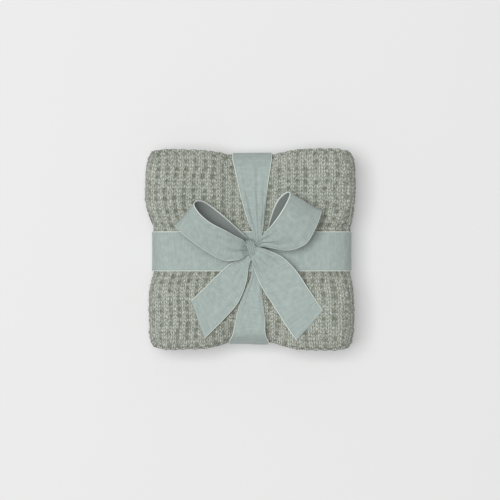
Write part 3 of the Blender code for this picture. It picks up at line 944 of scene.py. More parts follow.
@dataclass(frozen=True)
class RibbonCut:
    """The woven ribbon itself, and how it lies on the cloth."""

    width: float = 38.0 * MM
    thickness: float = 0.55 * MM
    selvedge: float = 0.85 * MM  # the thickness of its woven edge
    selvedge_columns: int = 2
    band_clearance: float = 0.6 * MM
    drape_clearance: float = 2.0 * MM
    solid_thickness: float = 1.0 * MM
    columns: int = 36
    step: float = 1.3 * MM
    edge_weight: float = 0.8  # how much the longer edge counts for the number of rows
    pleats: int = 3  # over the width, where a knot draws it together
    pleat_stray: Noise = Noise(16.0 * MM, 0.2)
    pleat_stray_depth: float = 0.5  # this and the next as a share of the pleats' depth
    crease_depth: float = 1.45
    creases: Noise = Noise(34.0 * MM, 1 / 9, 2)  # finer folds between the pleats
    slack: Noise = Noise(24.0 * MM, 0.4, 1, (3.0, 0.0))  # the waves that no knot draws together
    slack_depth: float = 0.75 * MM
    blend: float = 0.5 * MM  # how softly a length comes to rest on the pack
    pack_inset: float = 2.0 * MM  # from the even stack's edge to where a length may rest
    over_band: tuple[float, float] = (20.5 * MM, 27.5 * MM)  # from a band's middle: fully over it, and clear


@dataclass
class RibbonMaker:
    """Makes lengths of the ribbon as thin closed sheets."""

    shape: TiedShape
    cut: RibbonCut = field(default_factory=RibbonCut)

    def smooth(self, keys: np.ndarray) -> np.ndarray:
        """Even rows along the smooth surface through the key rows.

        Args:
            keys: Rows of edge a, edge b and pleat, in metres.

        Returns:
            More such rows, about one step apart.
        """
        padded = np.concatenate([keys[:1], keys, keys[-1:]])
        middles = (keys[:, :3] + keys[:, 3:6]) / 2
        found = []
        for k in range(len(keys) - 1):
            before, start, end, after = padded[k : k + 4]
            reach = max(np.linalg.norm((keys[k + 1] - keys[k])[e : e + 3]) for e in (0, 3))
            run = max(np.linalg.norm(middles[k + 1] - middles[k]), self.cut.edge_weight * reach)
            count = max(2, round(run / self.cut.step))
            share = (np.arange(count) / count)[:, None]
            bend = (2.0 * before - 5.0 * start + 4.0 * end - after) * share**2
            curve = 2.0 * start + (end - before) * share + bend
            found.append(0.5 * (curve + (3.0 * start - before - 3.0 * end + after) * share**3))
        return np.concatenate([*found, keys[-1:]])

    def gather(self, lines: np.ndarray, seed: int) -> np.ndarray:
        """Rows of points across the ribbon, with its gathers raised in them.

        Args:
            lines: Rows of edge a, edge b and pleat.
            seed: Chooses how uneven the gathers are.

        Returns:
            An array of rows, columns and x, y, z.
        """
        cut = self.cut
        a, b, pleat = lines[:, :3], lines[:, 3:6], lines[:, 6]
        normal = np.cross(np.gradient(a + b, axis=0), b - a)
        normal /= np.linalg.norm(normal, axis=1)[:, None]
        narrow = np.clip(np.linalg.norm(b - a, axis=1) / cut.width * 2.0, 0.0, 1.0)
        share = np.linspace(0.0, 1.0, cut.columns + 1)
        places = np.meshgrid(np.arange(len(lines)) * cut.step, share, indexing="ij")
        wave = np.cos(2 * np.pi * cut.pleats * share)[None, :]
        wave = wave + cut.pleat_stray_depth * cut.pleat_stray.at(*places, seed)
        wave = wave + cut.crease_depth * (2.0 * np.sqrt(np.abs(cut.creases.at(*places, seed))) - 1.0)
        height = wave * (pleat * narrow)[:, None] + cut.slack_depth * cut.slack.at(*places, seed)
        rows = a[:, None, :] + (b - a)[:, None, :] * share[None, :, None]
        return rows + normal[:, None, :] * height[:, :, None]

    def rest(self, points: np.ndarray) -> np.ndarray:
        """The height at which a ribbon's middle rests on the pack, over any band below it.

        Args:
            points: An array of x, y, z.

        Returns:
            One height for each point.
        """
        cut, shape = self.cut, self.shape
        halves = (shape.half_width - cut.pack_inset, shape.half_depth - cut.pack_inset)
        x, y = (np.clip(points[..., axis].ravel(), -half, half) for axis, half in enumerate(halves))
        full, clear = cut.over_band
        over = [1.0 - smooth_step((np.abs(value) - full) / (clear - full)) for value in (x, y)]
        bands = (over[0] + over[1]) * cut.solid_thickness + np.maximum(*over) * cut.drape_clearance
        height = shape.top(x, y) + cut.band_clearance + bands + cut.solid_thickness / 2
        return height.reshape(points.shape[:-1])

    def drape(self, points: np.ndarray) -> np.ndarray:
        """Lifts what would sink into the pack, with a soft start.

        Args:
            points: An array of x, y, z.

        Returns:
            The moved points.
        """
        rest = self.rest(points)
        above = (points[..., 2] - rest) / self.cut.blend
        lifted = points.copy()
        lifted[..., 2] = rest + self.cut.blend * np.logaddexp(0.0, above)
        return lifted

    def shell(self, name: str, rows: np.ndarray, closed: bool, face: Face) -> Length:
        """Gives rows of points the ribbon's thickness.

        Args:
            name: The object's name.
            rows: An array of rows, columns and x, y, z.
            closed: Whether the last row joins the first.
            face: Which side of the rows is the ribbon's right side; the other side gets painted shade.

        Returns:
            The object and its length along the middle.
        """
        cut = self.cut
        count, columns = rows.shape[:2]
        if closed:
            along = np.roll(rows, -1, axis=0) - np.roll(rows, 1, axis=0)
        else:
            along = np.gradient(rows, axis=0)
        normal = np.cross(along, np.gradient(rows, axis=1))
        normal /= np.linalg.norm(normal, axis=2)[:, :, None]
        half = np.full(columns, cut.thickness / 2)
        half[: cut.selvedge_columns] = half[-cut.selvedge_columns :] = cut.selvedge / 2
        offset = normal * half[None, :, None]
        points = np.concatenate([rows + offset, (rows - offset)[:, ::-1]], axis=1)
        total = 2 * columns
        corner_r, corner_c = cell_corners(range(count if closed else count - 1), range(total))
        if not closed:
            ends = np.arange(columns - 1)
            strip = np.stack([ends + 1, ends, total - 1 - ends, total - 2 - ends], axis=1)
            corner_r = np.concatenate([corner_r, np.zeros_like(strip), np.full_like(strip, count - 1)])
            corner_c = np.concatenate([corner_c, strip, strip[:, ::-1]])
        faces = ((corner_r % count) * total + corner_c % total).tolist()
        middle = rows.mean(axis=1)
        path = np.concatenate([middle, middle[:1]]) if closed else middle
        u = np.concatenate([[0.0], np.cumsum(np.linalg.norm(np.diff(path, axis=0), axis=1))])
        across = np.linspace(-cut.width / 2, cut.width / 2, columns)
        v = np.concatenate([across, across[::-1], across[:1]])
        uvs = np.stack([u[corner_r.ravel()], v[corner_c.ravel()]], axis=1)
        edge = np.abs(v[:-1]) / (cut.width / 2)
        # 1 on the side that is painted darker as painted shade, the side that faces into the loops
        painted_shade_share = np.repeat([0.0, 1.0] if face is Face.FIRST else [1.0, 0.0], columns)
        values = {"ribbon_edge": np.tile(edge, count), "painted_shade_side": np.tile(painted_shade_share, count)}
        return mesh_object(name, points.reshape(-1, 3), faces, uvs, values), float(u[-1])


@dataclass
class RibbonBands:
    """The two bands round the pack: one closed along X, and one along Y that narrows towards the knot."""

    maker: RibbonMaker
    across_y: float = -1.3 * MM
    lengthwise_back: float = 1.7 * MM
    lengthwise_front: float = -1.8 * MM
    ring_start: float = 65.0 * MM  # under the pack the ribbon lies flat nearer the middle than this
    ring_top: float = 86.0 * MM  # and on top it narrows nearer the middle than this
    step: float = 1.6 * MM
    rounding: int = 5  # how many times the path is evened out at its corners
    lift: Noise = Noise(22.0 * MM, 1 / 3)
    lift_height: float = 0.12 * MM
    edge_lift: Noise = Noise(22.0 * MM / 1.7, 1 / 3, 1)
    edge_height: float = 0.15 * MM
    edge_power: int = 3  # how close to the edges that one stays
    across_seed: int = 31
    lengthwise_seeds: tuple[int, int] = (33, 35)  # of its gathers and of its waves
    join: int = 4  # the even part's rows that steer where its two ends join it

    def path(self, half_length: float, along_x: bool) -> np.ndarray:
        """Even points on the outside of the tied pack, once round it: over the top, down, under and up.

        Args:
            half_length: Half the length of the even stack in that direction.
            along_x: Whether the band runs along X, and not along Y.

        Returns:
            Rows of the place along the band and the height, on the ribbon's middle.
        """
        shape, cut = self.maker.shape, self.maker.cut
        ends = [(1, 1), (1, 0), (-1, 0), (-1, 1)]
        corners = [(0.0, shape.stack_height), *((s * half_length, z * shape.stack_height) for s, z in ends)]
        found = []
        for (s0, z0), (s1, z1) in zip(corners, [*corners[1:], corners[0]]):
            count = round(math.hypot(s1 - s0, z1 - z0) / self.step)
            share = np.arange(count) / count
            found.append(np.stack([s0 + (s1 - s0) * share, z0 + (z1 - z0) * share], axis=1))
        s, z = np.concatenate(found).T
        flat = [s, np.full_like(s, self.across_y), z] if along_x else [np.zeros_like(s), s, z]
        path = shape.tie(np.stack(flat, axis=1))[:, [0 if along_x else 1, 2]]
        for _ in range(self.rounding):
            path = (np.roll(path, 1, axis=0) + 2 * path + np.roll(path, -1, axis=0)) / 4
        tangent = np.roll(path, -1, axis=0) - np.roll(path, 1, axis=0)
        tangent /= np.linalg.norm(tangent, axis=1)[:, None]
        outward = np.stack([-tangent[:, 1], tangent[:, 0]], axis=1)
        return path + outward * (cut.band_clearance + cut.solid_thickness / 2)

    def ripple(self, rows: np.ndarray, seed: int) -> np.ndarray:
        """Lifts the ribbon here and there in slight waves, a little more at its edges.

        Args:
            rows: An array of rows, columns and x, y, z.
            seed: Chooses the waves.

        Returns:
            The moved points.
        """
        count, columns = rows.shape[:2]
        places = np.meshgrid(np.arange(count) * self.step, np.linspace(0, 1, columns), indexing="ij")
        edge = np.abs(np.linspace(-1, 1, columns)) ** self.edge_power * self.edge_height
        wave = self.lift_height * self.lift.at(*places, seed)
        wave += (1.0 + self.edge_lift.at(*places, seed)) * edge[None, :]
        away = rows - np.array([0.0, 0.0, self.maker.shape.tied_height / 2])
        normal = np.cross(np.gradient(rows, axis=0), np.gradient(rows, axis=1))
        normal /= np.linalg.norm(normal, axis=2)[:, :, None]
        normal *= np.sign((normal * away).sum(axis=2))[:, :, None]
        moved = rows + normal * np.maximum(wave, 0.0)[:, :, None]
        moved[..., 2] = np.maximum(moved[..., 2], self.maker.cut.selvedge / 2)
        return moved

    def across(self) -> Length:
        """Makes the closed band along X.

        Returns:
            The object and its length.
        """
        path, cut = self.path(self.maker.shape.half_width, True), self.maker.cut
        rows = np.zeros((len(path), cut.columns + 1, 3))
        rows[:, :, 0] = path[:, :1]
        rows[:, :, 1] = self.across_y + np.linspace(-0.5, 0.5, cut.columns + 1) * cut.width
        rows[:, :, 2] = np.maximum(path[:, 1:], cut.selvedge / 2)
        return self.maker.shell("ribbon_band_across", self.ripple(rows, self.across_seed), True, Face.FIRST)

    def lengthwise(self) -> Length:
        """Makes the band along Y, from the knot over the far edge, under the pack and back to the knot.

        Returns:
            The object and its length.
        """
        maker, shape, cut = self.maker, self.maker.shape, self.maker.cut
        path = self.path(shape.half_depth, False)
        high = path[:, 1] > shape.stack_height / 2
        keep = ~(high & (np.abs(path[:, 0]) < self.ring_top))
        ring, high = path[keep], high[keep]
        first = int(np.argmin(np.abs(ring[:, 0] - self.ring_top) + np.where(high, 0.0, 1.0)))
        y, z = np.roll(ring, -first, axis=0).T
        z[(z < shape.stack_height / 4) & (np.abs(y) < self.ring_start)] = cut.selvedge / 2
        slant = (y / shape.half_depth + 1.0) / 2
        middle = self.lengthwise_front + (self.lengthwise_back - self.lengthwise_front) * slant
        edges = [middle - cut.width / 2, y, z, middle + cut.width / 2, y, z]
        lines = np.stack([*edges, np.zeros_like(y)], axis=1)
        back = maker.smooth(np.concatenate([np.array(TOP_BACK) * MM, lines[[0, self.join]]]))
        front = maker.smooth(np.concatenate([lines[[-1 - self.join, -1]], np.array(TOP_FRONT) * MM]))
        back = back[: np.argmin(np.linalg.norm(back[:, :3] - lines[0, :3], axis=1))]
        front = front[np.argmin(np.linalg.norm(front[:, :3] - lines[-1, :3], axis=1)) + 1 :]
        gathers, waves = self.lengthwise_seeds
        rows = self.ripple(maker.gather(np.concatenate([back, lines, front]), gathers), waves)
        return maker.shell("ribbon_band_lengthwise", rows, False, Face.SECOND)


@dataclass
class Bow:
    """The bow's loops, tails and knot."""

    maker: RibbonMaker
    knot_centre: tuple[float, float, float] = (1.4 * MM, 0.8 * MM, 63.0 * MM)
    knot_radii: tuple[float, float, float] = (5.4 * MM, 9.0 * MM, 6.4 * MM)
    knot_thickness: float = 5.6 * MM  # of the gathered ribbon that is wound over the middle of the bow
    knot_ends: tuple[float, float] = (-30.0, 212.0)  # it starts behind the bow and ends in front, in degrees
    knot_folds: float = 4.6  # over its width
    knot_twist: float = 0.35  # in turns
    knot_lean: float = -0.3  # how far it leans sideways from back to front
    knot_waist: float = 0.8  # its width in the middle, as a share of that at its ends
    knot_stray: Noise = Noise(0.2, 0.4, 51, (0.0, 9.0))
    fold_stray: float = 0.22  # how far that moves the folds, in folds
    fold_depth: float = 1.8 * MM
    fold_sharpness: float = 0.7  # below 1 the valleys are sharper than the crests
    fold_level: float = 0.6  # the share of the depth that is sunk into the knot
    knot_grid: tuple[int, int] = (80, 128)
    tuck_reach: float = 2.0  # the loops dip beside the knot, as far out as this many times its half size
    tuck_depth: float = 2.8 * MM

    def loop(self, name: str, rungs: Rungs, seed: int) -> Length:
        """Makes a loop through its rungs, tucked in beside the knot and resting on the pack.

        Args:
            name: The object's name.
            rungs: The lines that it passes through.
            seed: Chooses how uneven its gathers are.

        Returns:
            The object and its length.
        """
        rows = self.maker.gather(self.maker.smooth(np.array(rungs) * MM), seed)
        from_knot = [(rows[..., axis] - self.knot_centre[axis]) / self.knot_radii[axis] for axis in (0, 1)]
        near = smooth_step((self.tuck_reach - np.hypot(*from_knot)) / (self.tuck_reach - 1.0))
        rows[..., 2] -= self.tuck_depth * near
        return self.maker.shell(name, self.maker.drape(rows), False, Face.SECOND)

    def tail(self, name: str, rungs: Rungs, seed: int, face: Face) -> Length:
        """Makes a tail through its rungs, resting on the pack."""
        rows = self.maker.gather(self.maker.smooth(np.array(rungs) * MM), seed)
        return self.maker.shell(name, self.maker.drape(rows), False, face)

    def knot(self) -> bpy.types.Object:
        """Makes the knot: a twisted gather of ribbon, up behind the loops and down in front of them.

        Returns:
            The object.
        """
        rows, columns = self.knot_grid
        along, around = (grid.ravel() for grid in np.mgrid[0:rows, 0:columns])
        corner_r, corner_c = cell_corners(range(rows - 1), range(columns))
        ring, last = list(range(columns)), (rows - 1) * columns
        faces = (corner_r * columns + corner_c % columns).tolist()
        faces += [ring[::-1], [last + k for k in ring]]
        turn = 2 * math.pi * self.knot_radii[0]
        uvs = np.stack([corner_r.ravel() * MM / 2, corner_c.ravel() / columns * turn], axis=1)
        uvs = np.concatenate([uvs, np.zeros((2 * columns, 2))])
        points = self.knot_points(along / (rows - 1), around / columns * 2 * math.pi)
        plain = np.zeros(len(points))
        return mesh_object("bow_knot", points, faces, uvs, {"ribbon_edge": plain, "painted_shade_side": plain})

    def knot_points(self, share: np.ndarray, around: np.ndarray) -> np.ndarray:
        """Places on the knot's surface.

        Args:
            share: How far along the gather each place is, from 0 to 1.
            around: The angle round the gather.

        Returns:
            Rows of x, y, z.
        """
        start, end = (math.radians(angle) for angle in self.knot_ends)
        bend, centred = start + (end - start) * share, 2 * share - 1
        across, outward = np.cos(around), np.sin(around)
        phase = self.knot_folds * across / 2 + self.knot_twist * centred
        phase = phase + self.fold_stray * self.knot_stray.at(share, across)
        fold = np.abs(np.sin(np.pi * phase)) ** self.fold_sharpness - self.fold_level
        half_thick = self.knot_thickness / 2
        width = self.knot_radii[0] * (self.knot_waist + (1.0 - self.knot_waist) * centred**2)
        crest = np.sign(outward) * np.sqrt(np.abs(outward)) * self.fold_depth * fold
        lift = outward * half_thick + crest
        away_y = np.cos(bend) * (self.knot_radii[1] - half_thick + lift)
        away_z = np.sin(bend) * (self.knot_radii[2] - half_thick + lift)
        away = np.stack([across * width + self.knot_lean * away_y, away_y, away_z], axis=1)
        return away + np.array(self.knot_centre)


Socket = bpy.types.NodeSocket
NodeMaker = Callable[..., bpy.types.Node]  # add_node with its tree already given


@dataclass(frozen=True)
class Fabric:
    """A matt cloth: fibres that scatter the light, and a faint sheen where the cloth turns away."""

    name: str
    roughness: float
    sheen: float
    sheen_roughness: float
    specular: float
    relief: float

    def material(self) -> bpy.types.Material:
        """Builds the material on the cloth's own UV map, in metres, and its attributes.

        Returns:
            The material.
        """
        material = bpy.data.materials.new(self.name)
        material.use_nodes = True
        tree = material.node_tree
        shader = tree.nodes["Principled BSDF"]
        shader.inputs["Roughness"].default_value = self.roughness
        shader.inputs["Sheen Weight"].default_value = self.sheen
        shader.inputs["Sheen Roughness"].default_value = self.sheen_roughness
        shader.inputs["Specular IOR Level"].default_value = self.specular
        node = partial(add_node, tree)
        colour, height = self.surface(node, node("UVMap", uv_map=UV_MAP).outputs["UV"])
        bump = node("Bump", {"Distance": self.relief, "Height": height})
        tree.links.new(colour, shader.inputs["Base Color"])
        tree.links.new(bump.outputs["Normal"], shader.inputs["Normal"])
        return material

    def surface(self, node: NodeMaker, place: Socket) -> tuple[Socket, Socket]:
        """Adds what each fabric has of its own.

        Args:
            node: Adds a node to the material.
            place: The UV socket.

        Returns:
            The sockets of the colour and of the height.
        """
        raise NotImplementedError


@dataclass(frozen=True)
class WaffleCotton(Fabric):
    """Cotton yarn, dyed grey-green, knitted and matt.

    The eye gets pale slanting strands with dark grooves between them, a darker pit in each cell, and fine
    light fibres that stray over both and make the surface look soft. The dark grooves and pits are painted
    shade, and the pale crests and fibres are painted highlight, mixed with the yarn's random tone.
    """

    name: str = "cotton_yarn_knitted"
    roughness: float = 0.95
    sheen: float = 0.2
    sheen_roughness: float = 0.6
    specular: float = 0.2
    relief: float = 0.95 * MM
    # painted highlight on the strands' crests, and painted shade in the grooves between them; the yarn's
    # turns and specks mix them as random tone
    light: str = "#D8DDD1"  # the crest of a strand
    dark: str = "#3F4739"  # the groove beside it
    # painted shade in the pit of each cell
    pit: str = "#6B7160"
    painted_pit_shade_levels: tuple[float, float] = (-0.1, 0.95)  # the knit's levels that are all pit, and all yarn
    # painted highlight: the pale colour of the stray fibres
    fibre: str = "#E4E8DE"
    wale: float = 4.65 * MM  # the width of a stitch
    course: float = 3.55 * MM  # the height of a stitch
    slant: float = 1.7  # how steeply its two legs lean together
    stray: float = 1.3 * MM  # how far the stitches stray from their rows
    stray_run: float = 3.4 * MM
    ply: tuple[float, float] = (1.15 * MM, 3.4 * MM)  # the width and length of the yarn's turns
    ply_roughness: float = 0.6
    ply_bend: float = 0.6
    speck: float = 1.3 * MM
    contrast: tuple[float, float] = (0.36, 0.64)  # the part of the turns' and the specks' noise that is used
    strand_weight: float = 0.66  # how much of the lightness each of the three gives
    turn_weight: float = 0.26
    speck_weight: float = 0.22
    fibre_run: float = 2.6 * MM  # the size of a stray fibre's bends
    fibre_roughness: float = 0.7
    fibre_bend: float = 1.6
    fibre_width: float = 0.035  # as a share of that
    fibre_cover: float = 0.5
    fuzz: float = 0.4 * MM
    fuzz_weight: float = 0.25

    def surface(self, node: NodeMaker, place: Socket) -> tuple[Socket, Socket]:
        """Adds the knitted yarn, with painted shade in its grooves and pits and painted highlight on its
        crests and fibres.

        Args:
            node: Adds a node to the material.
            place: The UV socket.

        Returns:
            The sockets of the colour and of the height.
        """
        tone, height = self.yarn(node, place, self.stitches(node, place))
        level = node("Attribute", attribute_name="knit_level").outputs["Fac"]
        # painted shade in the pits: the lower the knit's level, the more pit colour
        low, high = self.painted_pit_shade_levels
        depth = node("MapRange", {"Value": level, "From Min": low, "From Max": high})
        fibres = self.fibres(node, place)
        # layers of colour: painted shade and highlight on the strands, painted shade in the pits, painted
        # highlight on the fibres
        layers = [(tone, self.dark, self.light), (depth, self.pit, None), (fibres, None, self.fibre)]
        colour = None
        for share, below, above in layers:
            ends = [colour if shade is None else linear(shade) for shade in (below, above)]
            colour = node("Mix", {0: share, 6: ends[0], 7: ends[1]}, data_type="RGBA").outputs[2]
        return colour, height

    def yarn(self, node: NodeMaker, place: Socket, strand: bpy.types.Node) -> list[bpy.types.Node]:
        """Adds the yarn's own turns and specks to the stitches.

        Args:
            node: Adds a node to the material.
            place: The UV socket.
            strand: The node that gives the height of the stitches.

        Returns:
            The nodes that give how light the yarn is and how high it stands, each from about 0 to 1.
        """
        scale = (1 / self.ply[0], 1 / self.ply[1], 1.0)
        stretched = node("VectorMath", {0: place, 1: scale}, operation="MULTIPLY")
        rough = {"Detail": 2.0, "Roughness": self.ply_roughness, "Distortion": self.ply_bend}
        turns = node("TexNoise", {"Vector": stretched, "Scale": 1.0, **rough})
        specks = node("TexNoise", {"Vector": place, "Scale": 1 / self.speck, "Detail": 2.0})
        fuzz = node("TexNoise", {"Vector": place, "Scale": 1 / self.fuzz, "Detail": 2.0})
        sharp = dict(zip(("From Min", "From Max"), self.contrast))
        turn, speck = (node("MapRange", {"Value": noise, **sharp}) for noise in (turns, specks))
        # the stitches' height darkens the grooves as painted shade and lightens the crests as painted
        # highlight
        base = node("Math", {0: strand, 1: self.strand_weight}, operation="MULTIPLY")
        turned = node("Math", {0: turn, 1: self.turn_weight, 2: base}, operation="MULTIPLY_ADD")
        tone = node("Math", {0: speck, 1: self.speck_weight, 2: turned}, operation="MULTIPLY_ADD")
        height = node("Math", {0: fuzz, 1: self.fuzz_weight, 2: turned}, operation="MULTIPLY_ADD")
        return [tone, height]

    def fibres(self, node: NodeMaker, place: Socket) -> bpy.types.Node:
        """Adds fine curved fibres, pale as painted highlight, that stray over the yarn: thin lines between
        the highs and lows of a noise.

        Args:
            node: Adds a node to the material.
            place: The UV socket.

        Returns:
            The node that gives how much of a fibre covers the place.
        """
        rough = {"Detail": 3.0, "Roughness": self.fibre_roughness, "Distortion": self.fibre_bend}
        bends = node("TexNoise", {"Vector": place, "Scale": 1 / self.fibre_run, **rough})
        away = node("Math", {0: bends, 1: 0.5}, operation="SUBTRACT")
        size = node("Math", {0: away}, operation="ABSOLUTE")
        cover = {"From Min": 0.0, "From Max": self.fibre_width, "To Min": self.fibre_cover, "To Max": 0.0}
        return node("MapRange", {"Value": size, **cover})

    def stitches(self, node: NodeMaker, place: Socket) -> bpy.types.Node:
        """Adds the stitches: strands that lean together in each column, like rows of Vs.

        Args:
            node: Adds a node to the material.
            place: The UV socket.

        Returns:
            The node that gives their height, from 0 to 1.
        """
        stray = node("TexNoise", {"Vector": place, "Scale": 1 / self.stray_run, "Detail": 2.0})
        even = node("VectorMath", {0: stray.outputs["Color"], 1: (0.5, 0.5, 0.5)}, operation="SUBTRACT")
        moved = node("VectorMath", {0: even, 1: (2 * self.stray,) * 3, 2: place}, operation="MULTIPLY_ADD")
        parts = node("SeparateXYZ", {0: moved}).outputs
        column = node("Math", {0: parts["X"], 1: self.wale}, operation="DIVIDE")
        row = node("Math", {0: parts["Y"], 1: self.course}, operation="DIVIDE")
        fold = node("Math", {0: column, 1: 0.5}, operation="PINGPONG")
        lean = node("Math", {0: fold, 1: self.slant, 2: row}, operation="MULTIPLY_ADD")
        waves = []
        for phase, turn in ((lean, math.pi), (fold, 2 * math.pi)):
            angle = node("Math", {0: phase, 1: turn}, operation="MULTIPLY")
            waves.append(node("Math", {0: angle}, operation="SINE"))
        strand = node("Math", {0: waves[0]}, operation="ABSOLUTE")
        return node("Math", {0: strand, 1: waves[1]}, operation="MULTIPLY")


@dataclass(frozen=True)
class WovenRibbon(Fabric):
    """Cotton tape, dyed grey-blue and woven with fine crosswise ribs, matt.

    The eye gets an even pale grey with faint crosswise lines, a darker back face that is painted shade inside
    the loops, and a fine pale selvedge with a darker line beside it.
    """

    name: str = "cotton_tape_woven"
    roughness: float = 0.85
    sheen: float = 0.15
    sheen_roughness: float = 0.5
    specular: float = 0.3
    relief: float = 0.16 * MM
    body: str = "#ABB7B3"
    shade: str = "#98A4A0"
    # painted shade: the darker colour of the side that faces into the loops
    back: str = "#7C8381"
    selvedge: str = "#D9E0DA"
    beside: str = "#9AA6A2"  # the line between the selvedge and the body
    rib: float = 0.9 * MM  # drawn coarser than the real 0.4 mm, so that it shows
    rib_weight: float = 0.12
    thread: float = 0.7 * MM  # the size of uneven threads
    slub: tuple[float, float] = (1.7 * MM, 16.0 * MM)  # the width and length of thicker threads across it
    slub_weight: float = 1.6
    weave_weight: float = 0.4
    cloud: float = 5.0 * MM  # the size of faint lighter and darker places
    cloud_weight: float = 0.8
    tones: tuple[float, float] = (0.68, 1.16)  # the sums of cloud and weave that are all shade, and all body
    selvedge_from: float = 0.95  # as shares of the way from the middle to the edge
    beside_from: float = 0.905
    edge_blend: float = 0.02

    def surface(self, node: NodeMaker, place: Socket) -> tuple[Socket, Socket]:
        """Adds the body, the darker back face painted as shade, and the selvedge with the line beside it.

        Args:
            node: Adds a node to the material.
            place: The UV socket.

        Returns:
            The sockets of the colour and of the height.
        """
        weave = self.weave(node, place)
        edge = node("Attribute", attribute_name="ribbon_edge").outputs["Fac"]
        # 1 on the side that gets painted shade
        painted_shade_share = node("Attribute", attribute_name="painted_shade_side").outputs["Fac"]
        cloud = node("TexNoise", {"Vector": place, "Scale": 1 / self.cloud, "Detail": 4.0})
        tone = node("Math", {0: cloud, 1: self.cloud_weight, 2: weave}, operation="MULTIPLY_ADD")
        low, high = self.tones
        body = node("MapRange", {"Value": tone, "From Min": low, "From Max": high})
        starts = (self.beside_from, self.selvedge_from)
        beside, rim = (
            node("MapRange", {"Value": edge, "From Min": start, "From Max": start + self.edge_blend})
            for start in starts
        )
        colour: Any = linear(self.shade)
        # the darker back face colour is painted shade
        layers = [(body, self.body), (painted_shade_share, self.back), (beside, self.beside), (rim, self.selvedge)]
        for share, shade in layers:
            colour = node("Mix", {0: share, 6: colour, 7: linear(shade)}, data_type="RGBA").outputs[2]
        return colour, weave

    def weave(self, node: NodeMaker, place: Socket) -> bpy.types.Node:
        """Adds the woven ribs and their uneven threads.

        Args:
            node: Adds a node to the material.
            place: The UV socket.

        Returns:
            The node that gives their height, from about 0 to 1.
        """
        along = node("SeparateXYZ", {0: place}).outputs["X"]
        turn = node("Math", {0: along, 1: 2 * math.pi / self.rib}, operation="MULTIPLY")
        ribs = node("Math", {0: turn}, operation="SINE")
        thread = node("TexNoise", {"Vector": place, "Scale": 1 / self.thread, "Detail": 3.0})
        scale = (1 / self.slub[0], 1 / self.slub[1], 1.0)
        stretched = node("VectorMath", {0: place, 1: scale}, operation="MULTIPLY")
        slubs = node("TexNoise", {"Vector": stretched, "Scale": 1.0, "Detail": 2.0})
        ribbed = node("Math", {0: ribs, 1: self.rib_weight, 2: thread}, operation="MULTIPLY_ADD")
        both = node("Math", {0: slubs, 1: self.slub_weight, 2: ribbed}, operation="MULTIPLY_ADD")
        return node("Math", {0: both, 1: self.weave_weight}, operation="MULTIPLY")


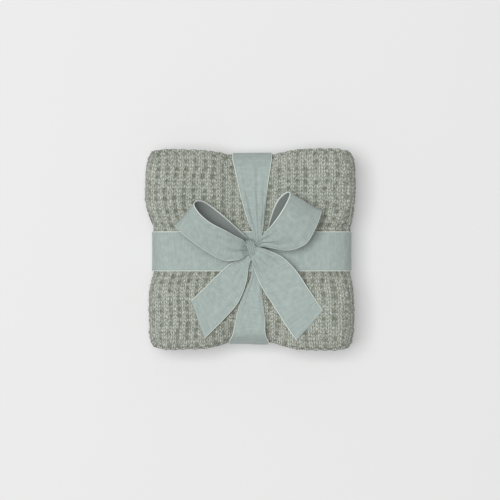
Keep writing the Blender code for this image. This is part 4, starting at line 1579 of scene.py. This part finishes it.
@dataclass(frozen=True)
class Studio:
    """The pale table, the soft light and the camera straight above."""

    table_colour: str = "#CFCFCF"
    table_glow: float = 0.17  # the table is faintly lit from below
    table_size: float = 12.0
    table_roughness: float = 0.9
    table_specular: float = 0.2
    camera_place: tuple[float, float, float] = (-0.5 * MM, 0.0, 2.055)
    camera_angle: float = 13.55  # in degrees
    key_slope: tuple[float, float] = (-0.22, 0.055)
    key_height: float = 4.0
    key_size: tuple[float, float] = (2.6, 2.05)
    key_power: float = 143.0
    world_strength: float = 0.3
    backdrop: float = 0.8
    white: tuple[float, float, float, float] = (1.0, 1.0, 1.0, 1.0)

    def build(self) -> None:
        """Builds the floor, the light, the world and the camera."""
        self.floor()
        self.key()
        self.world()
        self.camera()

    def floor(self) -> None:
        """Lays a table of matt acrylic: it gives an even pale ground with no reflection."""
        bpy.ops.object.select_all(action="DESELECT")
        bpy.ops.mesh.primitive_plane_add(size=self.table_size, location=(0.0, 0.0, 0.0))
        table = bpy.context.object
        table.name = "table"
        material = bpy.data.materials.new("table_acrylic_matt")
        material.use_nodes = True
        shader = material.node_tree.nodes["Principled BSDF"]
        shader.inputs["Base Color"].default_value = linear(self.table_colour)
        shader.inputs["Roughness"].default_value = self.table_roughness
        shader.inputs["Specular IOR Level"].default_value = self.table_specular
        shader.inputs["Emission Color"].default_value = self.white
        shader.inputs["Emission Strength"].default_value = self.table_glow
        table.data.materials.append(material)

    def key(self) -> None:
        """Hangs one large soft light above, a little to the left and the back."""
        light = bpy.data.lights.new("soft_key", "AREA")
        light.shape = "RECTANGLE"
        light.size, light.size_y = self.key_size
        light.energy = self.key_power
        lamp = bpy.data.objects.new("soft_key", light)
        lamp.location = (*(slope * self.key_height for slope in self.key_slope), self.key_height)
        bpy.context.scene.collection.objects.link(lamp)

    def world(self) -> None:
        """Adds a weak even light from all round, in front of a paler backdrop."""
        world = bpy.data.worlds.new("studio")
        bpy.context.scene.world = world
        world.use_nodes = True
        tree = world.node_tree
        background = tree.nodes["Background"].inputs
        background["Color"].default_value = self.white
        seen = add_node(tree, "LightPath").outputs["Is Camera Ray"]
        ends = {"To Min": self.world_strength, "To Max": self.backdrop}
        strength = add_node(tree, "MapRange", {"Value": seen, **ends}).outputs["Result"]
        tree.links.new(strength, background["Strength"])

    def camera(self) -> None:
        """Sets a camera straight above the pack."""
        data = bpy.data.cameras.new("camera")
        data.angle = math.radians(self.camera_angle)
        camera = bpy.data.objects.new("camera", data)
        camera.location = self.camera_place
        bpy.context.scene.collection.objects.link(camera)
        bpy.context.scene.camera = camera
        bpy.context.scene.view_settings.view_transform = "Standard"


def main() -> None:
    """Builds, dresses and reports each piece."""
    logging.basicConfig(level=logging.INFO, format="%(name)s: %(message)s")
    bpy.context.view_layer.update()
    shape = TiedShape()
    cotton, woven = WaffleCotton().material(), WovenRibbon().material()
    Studio().build()

    blanket = BlanketCloth(ClothLine(shape))
    Piece("blanket", Slot.CLOTH, blanket.flat, Held.FOLDED).hand_over(blanket.build(), cotton)

    maker = RibbonMaker(shape)
    bands, bow = RibbonBands(maker), Bow(maker)
    lengths = [
        ("ribbon_across", Held.FOLDED, bands.across()),
        ("ribbon_lengthwise", Held.FOLDED, bands.lengthwise()),
        ("loop_left", Held.GATHERED, bow.loop("bow_loop_left", LOOP_LEFT, 41)),
        ("loop_right", Held.GATHERED, bow.loop("bow_loop_right", LOOP_RIGHT, 43)),
        ("tail_left", Held.DRAPED, bow.tail("bow_tail_left", TAIL_LEFT, 45, Face.FIRST)),
        ("tail_right", Held.DRAPED, bow.tail("bow_tail_right", TAIL_RIGHT, 47, Face.SECOND)),
    ]
    for node, held, (thing, length) in lengths:
        flat = (maker.cut.width, length)
        Piece(node, Slot.RIBBON, flat, held, ("blanket_cloth",)).hand_over(thing, woven)
        LOG.info("%s is %.0f mm long", thing.name, length / MM)
    Piece("knot", Slot.RIBBON).hand_over(bow.knot(), woven)


if __name__ == "__main__":
    main()
